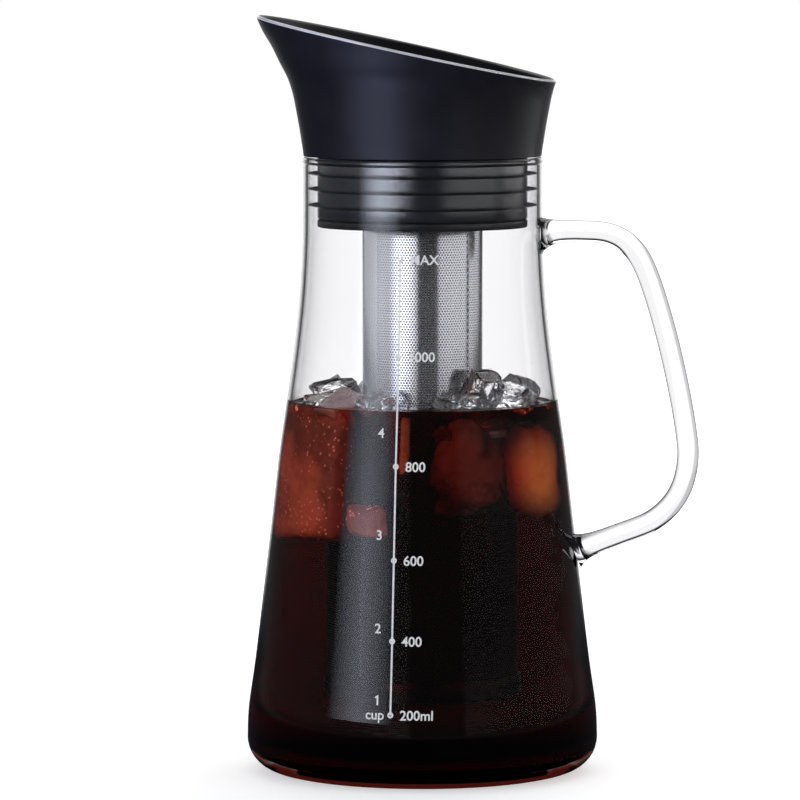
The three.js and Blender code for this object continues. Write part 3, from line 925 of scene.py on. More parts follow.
@dataclass
class Carafe:
    """The blown glass body with its thick floor, rolled lip and drawn handle."""

    wall: float = 1.6
    floor: float = 3.2
    corner: float = 10.6
    height: float = LIP
    lip: float = 1.25
    drink_level: float = 118.9
    outline_knots: Outline = (
        (56.8, 10.6), (56.35, 20.4), (54.16, 35.9), (51.52, 57.8), (48.79, 81.8), (46.24, 104.0),
        (43.55, 122.5), (41.15, 140.6), (39.56, 156.7), (38.75, 173.3), (38.6, 190.0),
    )
    handle_knots: Outline = (
        (51.34, 174.7), (60.31, 173.88), (66.92, 170.27), (71.78, 163.16), (76.6, 149.36),
        (81.32, 131.23), (84.95, 112.49), (85.8, 100.54), (82.68, 89.83), (74.99, 81.69),
        (62.67, 76.44),
    )
    handle_top: float = LIP - 23.8
    handle_foot: float = 71.7
    handle_sunk: float = 0.3
    # Faces of the body below this height take the wetted finish with its painted dark foot shade.
    shaded_foot_top: float = 8.0
    handle_thickness: float = 7.0
    handle_width: float = 8.6
    weld: float = 2.5
    weld_reach: float = 2.6
    weld_sag: float = 1.5

    def outside(self) -> list[Point]:
        """Returns the glass's outside from the base corner to the neck."""
        return through(self.outline_knots, 6)

    def outer_radius(self, height: float) -> float:
        """Returns the glass's outer radius at a height."""
        return radius_at(self.outside(), height)

    def inside(self, gap: float = 0.0, top: float = LIP - 3.6) -> list[Point]:
        """Makes the inner surface, or one a gap away from it.

        Args:
            gap: How far inside the glass the surface lies.
            top: Height where it ends.

        Returns:
            The points from the middle of the floor up the wall.
        """
        corner = self.corner - self.wall
        middle = (self.outline_knots[0][0] - self.corner, self.floor + corner)
        walls = [(r - self.wall - gap, z) for r, z in self.outside()
                 if self.floor + self.corner < z < top]
        return [(0, self.floor + gap), *arc(middle, corner - gap, -90, 0, 8), *walls]

    def build(self) -> None:
        """Builds the body and the handle."""
        self._body()
        self._handle()

    def _body(self) -> None:
        """Spins the glass body, with its lip fire-polished round."""
        mouth = self.outline_knots[-1][0] - self.wall / 2
        outline = [(0, 0), *Corner.LOW_OUT.at(self.outline_knots[0][0], 0, self.corner, 10),
                   *self.outside()[1:],
                   *arc((mouth, self.height - self.lip), self.lip, -50, 230, 20),
                   *reversed(self.inside())]
        # The lining goes on faces that touch the drink and on the foot, whose faces it darkens with
        # painted shade.
        Shape().spin(outline, closed=False).finish(
            "glass_carafe", Body.CARAFE, GLASS, "carafe_body", lining=(WET_GLASS_AND_FOOT_SHADE, self._is_wetted_or_shaded_foot))

    def _is_wetted_or_shaded_foot(self, spot: Vector) -> bool:
        """Tells whether a face of the body touches the drink or lies on the foot, where the lining
        lays a painted dark shade.

        Args:
            spot: The middle of the face.

        Returns:
            Whether it does.
        """
        across = math.hypot(spot.x, spot.y)
        inner = self.outer_radius(spot.z) - 0.8 * self.wall
        inside = 0.5 * self.floor < spot.z and across < inner
        return spot.z < self.drink_level and (inside or spot.z < self.shaded_foot_top)

    def _path(self) -> list[Point]:
        """Draws the handle's centreline.

        Returns:
            Its points, as (distance from the axis, height).
        """
        start, end = ((self.outer_radius(height) - self.handle_sunk, height)
                      for height in (self.handle_top, self.handle_foot))
        return through((start, *self.handle_knots, end), 8)

    def _handle(self) -> None:
        """Sweeps the drawn rod along its path, flared where it is fused to the wall."""
        path = self._path()
        along = [0.0]
        for (x0, z0), (x1, z1) in zip(path, path[1:]):
            along.append(along[-1] + math.hypot(x1 - x0, z1 - z0))
        places = []
        for index, (x, z) in enumerate(path):
            (x0, z0), (x1, z1) = path[max(index - 1, 0)], path[min(index + 1, len(path) - 1)]
            from_top = math.exp(-along[index] / self.weld_reach)
            from_foot = math.exp(-(along[-1] - along[index]) / self.weld_reach)
            flare = self.weld * (from_top + from_foot)
            thick = self.handle_thickness / 2 + flare
            width = self.handle_width / 2 + 0.7 * flare
            turn = Matrix.Rotation(math.pi / 2 - math.atan2(z1 - z0, x1 - x0), 4, "Y")
            place = Matrix.Translation((x, 0, z - self.weld_sag * from_top))
            places.append(place @ turn @ Matrix.Diagonal((thick, width, 1, 1)))
        Shape().sweep(places).finish("glass_handle", Body.CARAFE, ROD_GLASS, "carafe_handle", 50)


@dataclass
class MeasureScale:
    """The printed measuring line with its dots and numbers, on the front of the glass."""

    carafe: Carafe
    angle: float = -5.4
    line_width: float = 0.6
    digit_height: float = 3.0
    weight: float = 0.07
    proud: float = 0.08
    mark_gap: float = 3.0
    dot_radii: tuple[float, float] = (0.4, 0.95)
    marks: Sequence[tuple[str, float]] = (
        ("MAX", 167.3), ("1000", 136.8), ("800", 102.4), ("600", 73.0), ("400", 47.75),
        ("200ml", 24.7),
    )
    cups: Sequence[tuple[str, float, float]] = (
        ("4", 5.0, 112.9), ("3", 4.9, 80.9), ("2", 4.7, 51.7), ("1", 4.3, 29.3), ("cup", 5.1, 24.8),
    )

    def build(self) -> None:
        """Prints the line, the dots and the numbers as one piece."""
        flat = Shape()
        self._line(flat)
        for _, height in self.marks:
            self._dot(flat, height)
        for text, height in self.marks:
            flat.add(self._text(text, self.mark_gap, height, "LEFT"))
        for text, gap, height in self.cups:
            flat.add(self._text(text, -gap, height, "CENTER"))
        outside = self.carafe.outside()

        def wrap(spot: Vector) -> Vector:
            """Lays a flat point (across, up, out) on the glass and returns its place."""
            radius = radius_at(outside, spot.y) + self.proud
            return round_axis(radius, math.radians(self.angle) + spot.x / radius, spot.y)

        flat.warp(wrap).finish("measure_scale", Body.CARAFE, ENAMEL, closed=False)

    def _line(self, flat: Shape) -> None:
        """Adds the line from the top mark to the lowest, in short stretches.

        Args:
            flat: The print.
        """
        top, bottom = self.marks[0][1], self.marks[-1][1]
        made = bmesh.ops.create_grid(flat.mesh, x_segments=1, y_segments=90, size=0.5)["verts"]
        bmesh.ops.scale(flat.mesh, vec=(self.line_width, top - bottom, 1), verts=made)
        bmesh.ops.translate(flat.mesh, vec=(0, (top + bottom) / 2, 0), verts=made)

    def _dot(self, flat: Shape, height: float) -> None:
        """Adds a ring-shaped dot on the line.

        Args:
            flat: The print.
            height: The dot's height.
        """
        rims = []
        for radius in self.dot_radii:
            ring = bmesh.ops.create_circle(flat.mesh, cap_ends=False, segments=28, radius=radius,
                                           matrix=Matrix.Translation((0, height, 0.01)))
            rims += list({e for v in ring["verts"] for e in v.link_edges})
        bmesh.ops.bridge_loops(flat.mesh, edges=rims)

    def _text(self, text: str, across: float, height: float, side: str) -> Shape:
        """Makes a number or word as flat faces.

        Args:
            text: What it says.
            across: Where it stands beside the line.
            height: The height of its middle.
            side: LEFT to start there, CENTER to be centred there.

        Returns:
            The flat letters.
        """
        letters = bpy.data.curves.new(text, "FONT")
        letters.body = text
        letters.size = self.digit_height / 0.7
        letters.align_x = side
        letters.offset = self.weight
        letters.resolution_u = 4
        holder = bpy.data.objects.new(text, letters)
        bpy.context.scene.collection.objects.link(holder)
        bpy.context.view_layer.update()
        data = bpy.data.meshes.new_from_object(holder.evaluated_get(
            bpy.context.evaluated_depsgraph_get()))
        bpy.data.objects.remove(holder)
        bpy.data.curves.remove(letters)
        shape = Shape()
        shape.mesh.from_mesh(data)
        bpy.data.meshes.remove(data)
        if text.startswith("1"):
            self._flag(shape)
        return shape.place(Matrix.Translation((across, height - self.digit_height / 2, 0)))

    def _flag(self, shape: Shape) -> None:
        """Gives the plain stem of a leading 1 its slanted stroke.

        Args:
            shape: The flat letters.
        """
        stem = min(v.co.x for v in shape.mesh.verts)
        made = bmesh.ops.create_grid(shape.mesh, x_segments=1, y_segments=1, size=0.5)["verts"]
        bmesh.ops.scale(shape.mesh, vec=(1.0, 0.42, 1), verts=made)
        bmesh.ops.rotate(shape.mesh, matrix=Matrix.Rotation(math.radians(38), 3, "Z"), verts=made)
        bmesh.ops.translate(shape.mesh, vec=(stem - 0.1, self.digit_height - 0.5, 0.01), verts=made)


# What the carafe holds


@dataclass(frozen=True)
class Chunk:
    """A piece of ice: its place round the carafe, how far out and how high, its size and look."""

    angle: float
    out: float
    height: float
    size: tuple[float, float, float]
    stain: Stain = Stain.CLEAR
    soft: float = 0.12
    melt: float = 0.3


@dataclass
class Contents:
    """Cold coffee with ice: chunks that float at the surface and pieces held down by the glass."""

    carafe: Carafe
    gap: float = 0.1
    climb: float = 1.3
    lean: float = 7.0
    tilt: float = 0.35
    floating: Sequence[Chunk] = (
        Chunk(50, 27.0, 124.6, (11, 10, 11), melt=0.34),
        Chunk(70, 31.0, 122.6, (12, 9, 7), melt=0.34),
        Chunk(33, 30.0, 121.2, (8, 7, 4.5), melt=0.34),
        Chunk(18, 33.0, 120.9, (6, 6, 4)),
        Chunk(-47, 33.0, 119.9, (14, 9, 4), Stain.FROSTED, 0.2),
        Chunk(-70, 34.0, 120.2, (9, 7, 3), soft=0.15),
        Chunk(-22, 33.0, 120.8, (9, 8, 4.5), soft=0.15, melt=0.34),
        Chunk(102, 30.0, 121.9, (13, 11, 6)),
        Chunk(150, 30.0, 121.9, (14, 12, 6)),
        Chunk(-100, 30.0, 121.9, (14, 12, 6)),
        Chunk(-150, 30.0, 121.9, (14, 12, 6)),
    )
    sunken: Sequence[Chunk] = (
        Chunk(-58, 35.0, 97.0, (34, 13, 44), Stain.ROSE, 0.42, 0.12),
        Chunk(-19, 40.0, 84.0, (13, 6, 10), Stain.FROSTED, 0.45, 0.25),
        Chunk(-3.0, 37.5, 108.5, (3.4, 4, 16), Stain.RUST, 0.45, 0.3),
        Chunk(64, 37.0, 98.0, (24, 13, 29), Stain.AMBER, 0.48, 0.2),
        Chunk(31, 32.0, 101.0, (22, 10, 27), Stain.BROWN, 0.45, 0.4),
        Chunk(40, 40.0, 111.5, (7, 2.5, 2.5), Stain.BROWN, 0.45, 0.3),
        Chunk(120, 35.0, 92.0, (26, 12, 28), Stain.RUST, 0.45, 0.2),
        Chunk(172, 35.0, 95.0, (28, 13, 34), Stain.ROSE, 0.4, 0.2),
        Chunk(-125, 35.0, 88.0, (26, 12, 28), Stain.RUST, 0.45, 0.2),
    )

    def build(self) -> None:
        """Pours the coffee and drops the ice."""
        level = self.carafe.drink_level
        wall = self.carafe.inside(self.gap, level)
        edge = wall[-1][0]
        meniscus = through(((edge - 0.25, level + self.climb), (edge - 1.0, level + 0.45),
                            (edge - 3.0, level)), 5)
        outline = [*wall, (edge, level + self.climb), *meniscus, (0, level)]
        Shape().spin(outline, closed=False).finish("cold_coffee", Body.CARAFE, COFFEE, crease=60)
        for seed, chunk in enumerate(self.floating, 1):
            self._chunk(f"floating_ice_{seed}", chunk, seed, self._tumbled(chunk, seed))
        for seed, chunk in enumerate(self.sunken, 1):
            self._chunk(f"sunken_ice_{seed}", chunk, seed + 20, self._along_wall(chunk))

    @staticmethod
    def _chunk(name: str, chunk: Chunk, seed: int, lay: Move) -> None:
        """Makes one half-melted piece.

        Args:
            name: The piece's name.
            chunk: Its size and look.
            seed: What its shape is drawn from.
            lay: The rule that brings a point of the piece to its place.
        """
        least = min(chunk.size)
        shape = Shape().block(Vector(chunk.size), Vector(), least * chunk.soft)
        bmesh.ops.subdivide_edges(shape.mesh, edges=shape.mesh.edges, cuts=3, use_grid_fill=True)
        drift = Vector((seed * 7.3, seed * 3.1, seed * 5.7))

        def melt(spot: Vector) -> Vector:
            """Moves a point of the cube in or out, as melting does, and returns its place."""
            broad, fine = (noise.noise(spot / (least * size) + drift) for size in (0.8, 0.3))
            return spot * (1 + chunk.melt * (broad + 0.35 * fine))

        shape.warp(melt)
        bmesh.ops.smooth_vert(shape.mesh, verts=shape.mesh.verts, factor=0.5, use_axis_x=True,
                              use_axis_y=True, use_axis_z=True)
        shape.warp(lay).finish(name, Body.CARAFE, chunk.stain.value, crease=70)

    def _tumbled(self, chunk: Chunk, seed: int) -> Move:
        """Turns a piece as it floats and sets it in its place.

        Args:
            chunk: The piece.
            seed: What its turn is drawn from.

        Returns:
            The rule from a point of the piece to its place.
        """
        place = round_axis(chunk.out, math.radians(chunk.angle), chunk.height)
        tumble = Euler((self.tilt * math.sin(seed * 2.3), self.tilt * math.sin(seed * 4.1),
                        seed * 2.1))
        laid = Matrix.Translation(place) @ tumble.to_matrix().to_4x4()
        return lambda spot: laid @ spot

    def _along_wall(self, chunk: Chunk) -> Move:
        """Bends a piece along the sloping wall, at an even depth.

        Args:
            chunk: The piece.

        Returns:
            The rule from a point (across, inwards, up) of the piece to its place.
        """
        slope = math.tan(math.radians(self.lean))
        turn = math.radians(chunk.angle)
        return lambda spot: round_axis(chunk.out - spot.y - spot.z * slope,
                                       turn + spot.x / chunk.out, chunk.height + spot.z)


# Lid


@dataclass
class Spout:
    """The flared shell with its slanted, rounded rim."""

    foot: float = LIP + 0.3
    tip_height: float = LIP + 45.5
    tip_radius: float = 53.7
    tilt: float = 12.0
    wall: float = 2.2
    floor: float = 2.5
    bore: float = 32.3
    rises: Outline = (
        (38.4, 0), (39.0, 4.5), (39.8, 9.5), (40.7, 14.5), (41.8, 19.9), (43.4, 24.9),
        (45.9, 29.8), (48.6, 35.3), (51.5, 40.2), (53.7, 45.2), (55.2, 49.7),
    )
    # How far down the rim's edge the painted highlight reaches.
    highlight_depth: float = 0.75
    straight: float = 10.0
    flatness: float = 100.0
    wall_steps: int = 44
    round_steps: int = 180

    def outline(self) -> list[Point]:
        """Returns the shell's outside, from its foot to past its tip."""
        return through([(radius, self.foot + rise) for radius, rise in self.rises], 8)

    def rim_height(self, angle: float, outline: Outline) -> float:
        """Finds how high the slanted rim is in one direction.

        Args:
            angle: The direction in radians, from +X towards +Y.
            outline: The shell's outside.

        Returns:
            The height of the rim's outer edge there.
        """
        slope = math.tan(math.radians(self.tilt))
        height = self.tip_height
        for _ in range(12):
            across = radius_at(outline, height) * math.cos(angle)
            height = self.tip_height - slope * (across + self.tip_radius)
        return height

    def _cup(self) -> list[Point]:
        """Makes the section of a straight cup, one high, with a rounded rim that is flattened.

        Returns:
            The closed outline.
        """
        half = self.wall / 2
        walls = [i / self.wall_steps for i in range(self.wall_steps + 1)]
        rim = [(self.straight + half + half * math.cos(a), 1 + half * math.sin(a) / self.flatness)
               for a in (math.pi * i / 10 for i in range(1, 10))]
        return [*((self.straight + self.wall, share) for share in walls), *rim,
                *((self.straight, share) for share in reversed(walls[1:])),
                (self.straight, 0.006), (self.straight + half, 0.0)]

    def build(self) -> None:
        """Spins a straight cup and draws it out into the flared, slanted shell."""
        outline = self.outline()
        half = self.wall / 2

        def draw(spot: Vector) -> Vector:
            """Moves a point of the straight cup to the real shell.

            Args:
                spot: The point.

            Returns:
                Its place.
            """
            angle = math.atan2(spot.y, spot.x)
            inward = self.straight + self.wall - math.hypot(spot.x, spot.y)
            top = self.rim_height(angle, outline) - half
            share = min(spot.z, 1.0)
            height = self.foot + share * (top - self.foot) + (spot.z - share) * self.flatness
            radius = radius_at(outline, height) - inward
            return Vector((radius * math.cos(angle), radius * math.sin(angle), height))

        def on_highlight_edge(spot: Vector) -> bool:
            """Tells whether a face lies on the outer half of the rim's rounded edge, which is
            painted as a highlight.

            Args:
                spot: The middle of the face.

            Returns:
                Whether it does.
            """
            crest = self.rim_height(math.atan2(spot.y, spot.x), outline)
            middle = radius_at(outline, crest) - half
            return spot.z > crest - self.highlight_depth and math.hypot(spot.x, spot.y) > middle

        shape = Shape().spin(self._cup(), steps=self.round_steps).warp(draw)
        shape.add(Shape().spin(rounded_ring(self.bore, self.rises[0][0] - 0.3, self.foot,
                                            self.foot + self.floor, 0.35)))
        # The rim's outer edge takes the pale finish, a painted highlight.
        shape.finish("spout_shell_skin", Body.LID, PLASTIC, "spout_shell", 50,
                     lining=(RIM_HIGHLIGHT, on_highlight_edge))


@dataclass
class Plug:
    """The barrel that reaches into the neck, its finned seal and the strainer under it."""

    sleeve: float = 33.9
    seal_bore: float = 32.3
    barrel: float = 32.0
    barrel_bore: float = 30.2
    bottom: float = LIP - 22.5
    strainer_top: float = LIP - 20.1
    barrel_bottom: float = LIP - 19.8
    seal_top: float = LIP
    fin_heights: Sequence[float] = (LIP - 15.6, LIP - 10.4, LIP - 5.4)
    fin_reach: float = 36.9
    flange: float = 35.9
    flange_bottom: float = LIP + 3.1
    flange_top: float = LIP + 5.1
    socket: float = 25.2
    socket_bore: float = 23.4
    socket_top: float = LIP - 8.5
    rim_bore: float = 31.0
    spoke_width: float = 2.6

    def build(self) -> None:
        """Builds the three pieces of the plug."""
        self._seal()
        self._barrel()
        self._strainer()

    def _seal(self) -> None:
        """Spins the silicone sleeve, whose fins curl up against the glass."""
        root, tip = self.sleeve, self.fin_reach
        outline = [*Corner.LOW_IN.at(self.seal_bore, self.barrel_bottom, 0.3),
                   *Corner.LOW_OUT.at(root, self.barrel_bottom, 0.4)]
        for height in self.fin_heights:
            outline += [
                (root, height - 0.7), (root + 0.2, height - 0.5), (root + 1.2, height - 0.34),
                (tip - 0.7, height - 0.02), *arc((tip - 0.2, height + 0.3), 0.2, -60, 120, 5),
                (tip - 0.9, height + 0.26), (root + 1.2, height + 0.02), (root + 0.2, height),
                (root, height + 0.2),
            ]
        outline += [*Corner.TOP_OUT.at(root, self.seal_top, 0.3), (self.seal_bore, self.seal_top)]
        Shape().spin(outline).finish("finned_seal", Body.LID, SILICONE, "neck_seal")

    def _barrel(self) -> None:
        """Spins the barrel with its flange."""
        outline = [(self.barrel_bore, self.barrel_bottom),
                   *Corner.LOW_OUT.at(self.barrel, self.barrel_bottom, 0.3),
                   (self.barrel, self.flange_bottom),
                   *Corner.LOW_OUT.at(self.flange, self.flange_bottom, 0.3),
                   *Corner.TOP_OUT.at(self.flange, self.flange_top, 0.3),
                   *Corner.TOP_IN.at(self.barrel_bore, self.flange_top, 0.3)]
        Shape().spin(outline).finish("plug_barrel_skin", Body.LID, PLASTIC, "plug_barrel")

    def _strainer(self) -> None:
        """Spins the strainer's rim and socket and joins them by four spokes."""
        shape = Shape().spin(rounded_ring(self.rim_bore, self.sleeve, self.bottom,
                                          self.strainer_top, 0.5))
        shape.add(Shape().spin(rounded_ring(self.socket_bore, self.socket, self.bottom,
                                            self.socket_top, 0.4)))
        size = Vector((self.rim_bore - self.socket + 2.0, self.spoke_width,
                       self.strainer_top - self.bottom - 0.1))
        middle = Vector(((self.socket + self.rim_bore) / 2, 0,
                         (self.bottom + self.strainer_top) / 2))
        for quarter in range(4):
            turn = Matrix.Rotation(math.pi / 2 * (quarter + 0.5), 4, "Z")
            shape.add(Shape().block(size, middle, 0.5).place(turn))
        shape.finish("pour_strainer_skin", Body.LID, PLASTIC, "pour_strainer")


@dataclass
class Flap:
    """The self-closing flap on its seat, with hinge, seal and balance weight."""

    seat_bottom: float = LIP + 5.4
    seat_top: float = LIP + 7.8
    seat_rise: float = 1.6
    hole: float = 18.0
    seat_edge: float = 35.9
    seal_width: float = 3.0
    flap_bottom: float = LIP + 9.4
    flap_radius: float = 21.8
    flap_thickness: float = 1.2
    hinge: Point = (25.0, LIP + 11.7)
    weight: Point = (5.0, 6.0)
    knuckle: float = 2.3
    knuckle_length: float = 14.0
    ear: float = 2.7
    ear_gap: float = 0.3
    ear_thickness: float = 2.0
    pin: Point = (1.0, 19.2)
    pin_head: Point = (1.7, 0.8)
    pin_head_at: float = -10.0
    ring_rises: Outline = ((15.9, 0), (15.2, 0.35), (14.2, 0.45), (13.2, 0.35), (12.5, 0))

    def build(self) -> None:
        """Builds the seat, the flap, the seal, the pin and the weight."""
        self._seat()
        self._flap()
        seal = rounded_ring(self.hole, self.hole + self.seal_width, self.seat_top + 0.3,
                            self.seat_top + 1.3, 0.35)
        Shape().spin(seal).finish("seat_gasket", Body.LID, SILICONE, "flap_seat_seal")
        pin = bar_along_y(*self.pin, self._at_hinge(0), 0.2, 40)
        pin.add(bar_along_y(*self.pin_head, self._at_hinge(self.pin_head_at), 0.25, 40))
        pin.finish("hinge_pin", Body.LID, STEEL, "flap_hinge_pin")
        wide, high = self.weight
        top = self.flap_bottom - 0.3
        knob = [(0, top - high), *Corner.LOW_OUT.at(wide, top - high, 0.8, 4),
                *Corner.TOP_OUT.at(wide, top, 0.4), (0, top)]
        weight = Shape().spin(knob, closed=False, steps=64)
        weight.place(Matrix.Translation((self.hole / 2, 0, 0)))
        weight.finish("balance_weight", Body.FLAP, STEEL, "flap_weight")

    def _at_hinge(self, y: float) -> Vector:
        """Returns the hinge's axis at a place along Y."""
        return Vector((self.hinge[0], y, self.hinge[1]))

    def _seat(self) -> None:
        """Spins the dished seat and stands the two hinge ears on it."""
        flat_to = self.hinge[0] + self.ear
        outline = [*Corner.LOW_IN.at(self.hole, self.seat_bottom, 0.4),
                   *Corner.LOW_OUT.at(self.seat_edge, self.seat_bottom, 0.3),
                   *arc((self.seat_edge - 0.4, self.seat_top + self.seat_rise - 0.4), 0.4, 0, 100,
                        3),
                   (flat_to + 1.0, self.seat_top + 0.15), (flat_to - 0.5, self.seat_top),
                   *Corner.TOP_IN.at(self.hole, self.seat_top, 0.4)]
        shape = Shape().spin(outline)
        foot = self.hinge[1] - self.seat_top + 1.0
        for side in (-1, 1):
            ear = self._at_hinge(side * (self.knuckle_length / 2 + self.ear_gap
                                         + self.ear_thickness / 2))
            shape.add(bar_along_y(self.ear, self.ear_thickness, ear, 0.3, 48))
            shape.block(Vector((2 * self.ear - 0.1, self.ear_thickness - 0.02, foot)),
                        ear - Vector((0, 0, foot / 2)), 0.25)
        shape.finish("flap_seat_skin", Body.LID, PLASTIC, "flap_seat")

    def _flap(self) -> None:
        """Spins the pressed flap with a raised ring and gives it its rolled knuckle."""
        low, high = self.flap_bottom, self.flap_bottom + self.flap_thickness
        edge = self.flap_radius
        ring = through([(radius, high + rise) for radius, rise in self.ring_rises], 4)
        outline = [(0, low), (edge - 0.3, low), *Corner.TOP_OUT.at(edge, high, 0.5, 4),
                   (16.4, high), *ring, (0, high)]
        shape = Shape().spin(outline, closed=False)
        reach = self.hinge[0] - edge / 2
        shape.block(Vector((reach, self.knuckle_length - 0.1, self.flap_thickness - 0.05)),
                    Vector((self.hinge[0] - reach / 2, 0, (low + high) / 2)), 0.3)
        shape.add(bar_along_y(self.knuckle, self.knuckle_length, self._at_hinge(0), 0.3, 48))
        shape.finish("pressed_flap", Body.FLAP, FLAP_STEEL, "pour_flap")


# Filter


@dataclass
class Filter:
    """The perforated steel tube with its collar, ring, inner liner and base cup."""

    radius: float = 19.4
    wall: float = 0.5
    bottom: float = 23.7
    top: float = LIP - 10.8
    liner: float = 18.6
    liner_wall: float = 0.4
    collar: float = 23.1
    collar_bore: float = 19.7
    groove: float = 21.2
    groove_half: float = 1.2
    collar_bottom: float = LIP - 22.5
    collar_top: float = LIP - 9.1
    groove_at: float = LIP - 15.5
    cup_radius: float = 20.2
    cup_bottom: float = 22.9
    cup_top: float = 29.9
    cup_wall: float = 0.5

    def build(self) -> None:
        """Builds the five pieces of the filter."""
        self._collar()
        tube = rounded_ring(self.radius - self.wall, self.radius, self.bottom, self.top, 0.1)
        Shape().spin(tube).finish("filter_tube", Body.FILTER, SCREEN, "filter_screen")
        inner = self.liner - self.liner_wall
        bag = [(0, self.bottom), *Corner.LOW_OUT.at(self.liner, self.bottom, 0.6, 4),
               (self.liner, self.top), (inner, self.top), (inner, self.bottom + 0.8),
               (inner - 0.4, self.bottom + 0.4), (0, self.bottom + 0.4)]
        Shape().spin(bag, closed=False).finish("filter_liner_skin", Body.FILTER, LINER,
                                               "filter_liner")
        wide, low, thick = self.cup_radius, self.cup_bottom, self.cup_wall
        rolled = arc((wide - thick / 2, self.cup_top - thick / 2), thick / 2, 0, 180, 4)
        base = [(0, low), (wide - 4.0, low), *Corner.LOW_OUT.at(wide, low, 1.2, 6), *rolled,
                (wide - thick, low + 1.4), (wide - 1.3, low + thick), (0, low + thick)]
        Shape().spin(base, closed=False).finish("filter_base_cup_skin", Body.FILTER, STEEL,
                                                "filter_base_cup")

    def _collar(self) -> None:
        """Spins the collar with its groove, and the rubber ring that sits in it."""
        low, high = self.groove_at - self.groove_half, self.groove_at + self.groove_half
        outline = [(self.collar_bore, self.collar_bottom),
                   *Corner.LOW_OUT.at(self.collar, self.collar_bottom, 0.4),
                   (self.collar, low), (self.groove, low), (self.groove, high),
                   (self.collar, high), *Corner.TOP_OUT.at(self.collar, self.collar_top, 0.6, 4),
                   *Corner.TOP_IN.at(self.liner - 0.4, self.collar_top, 0.3),
                   (self.liner - 0.4, self.collar_top - 1.4),
                   (self.collar_bore, self.collar_top - 1.4)]
        Shape().spin(outline).finish("filter_collar_skin", Body.FILTER, PLASTIC, "filter_collar")
        ring = arc((self.collar - 0.8, self.groove_at), 0.8, 0, 360, 16)[1:]
        Shape().spin(ring).finish("collar_ring", Body.FILTER, SILICONE, "filter_collar_seal")


# Studio


class Reach(Enum):
    """What a softbox lights."""

    ALL = ()
    CLEAR = ("glass_carafe", "glass_handle", "cold_coffee")
    SEAL = ("finned_seal",)
    BLACK = ("finned_seal", "spout_shell_skin")
    SPOUT = ("spout_shell_skin",)
    ICE = tuple(f"sunken_ice_{index}" for index in range(1, 10))
    SCREEN = ("filter_tube", "filter_liner_skin")
    SOLID = (*CLEAR, *SCREEN, "filter_base_cup_skin", "pressed_flap", "hinge_pin",
             "balance_weight")


@dataclass
class Softbox:
    """A rectangular light that hangs round the carafe, in metres."""

    name: str
    angle: float
    distance: float
    height: float
    width: float
    tall: float
    radiance: float
    reach: Reach = Reach.ALL
    tint: Colour = (1.0, 1.0, 1.0)
    aim_height: float = 0.12
    spread: float = 180.0

    def build(self) -> None:
        """Hangs the light, facing the carafe's axis."""
        lamp = bpy.data.lights.new(self.name, "AREA")
        lamp.shape = "RECTANGLE"
        lamp.size = self.width
        lamp.size_y = self.tall
        lamp.energy = self.radiance * math.pi * self.width * self.tall
        lamp.color = self.tint
        lamp.spread = math.radians(self.spread)
        lamp.cycles.use_multiple_importance_sampling = self.reach in (Reach.ALL, Reach.CLEAR)
        holder = bpy.data.objects.new(self.name, lamp)
        holder.location = round_axis(self.distance, math.radians(self.angle), self.height)
        facing = Vector((0, 0, self.aim_height)) - holder.location
        holder.rotation_euler = facing.to_track_quat("-Z", "Y").to_euler()
        holder.visible_camera = False
        bpy.context.scene.collection.objects.link(holder)
        if self.reach is not Reach.ALL:
            self._link(holder)

    def _link(self, holder: bpy.types.Object) -> None:
        """Limits the light to its pieces, or keeps it off them where they are the solid ones.

        Args:
            holder: The light's object.
        """
        lit = bpy.data.collections.new(self.name + "_reach")
        for name in self.reach.value:
            lit.objects.link(bpy.data.objects[name])
        for entry in lit.collection_objects:
            entry.light_linking.link_state = "EXCLUDE" if self.reach is Reach.SOLID else "INCLUDE"
        holder.light_linking.receiver_collection = lit


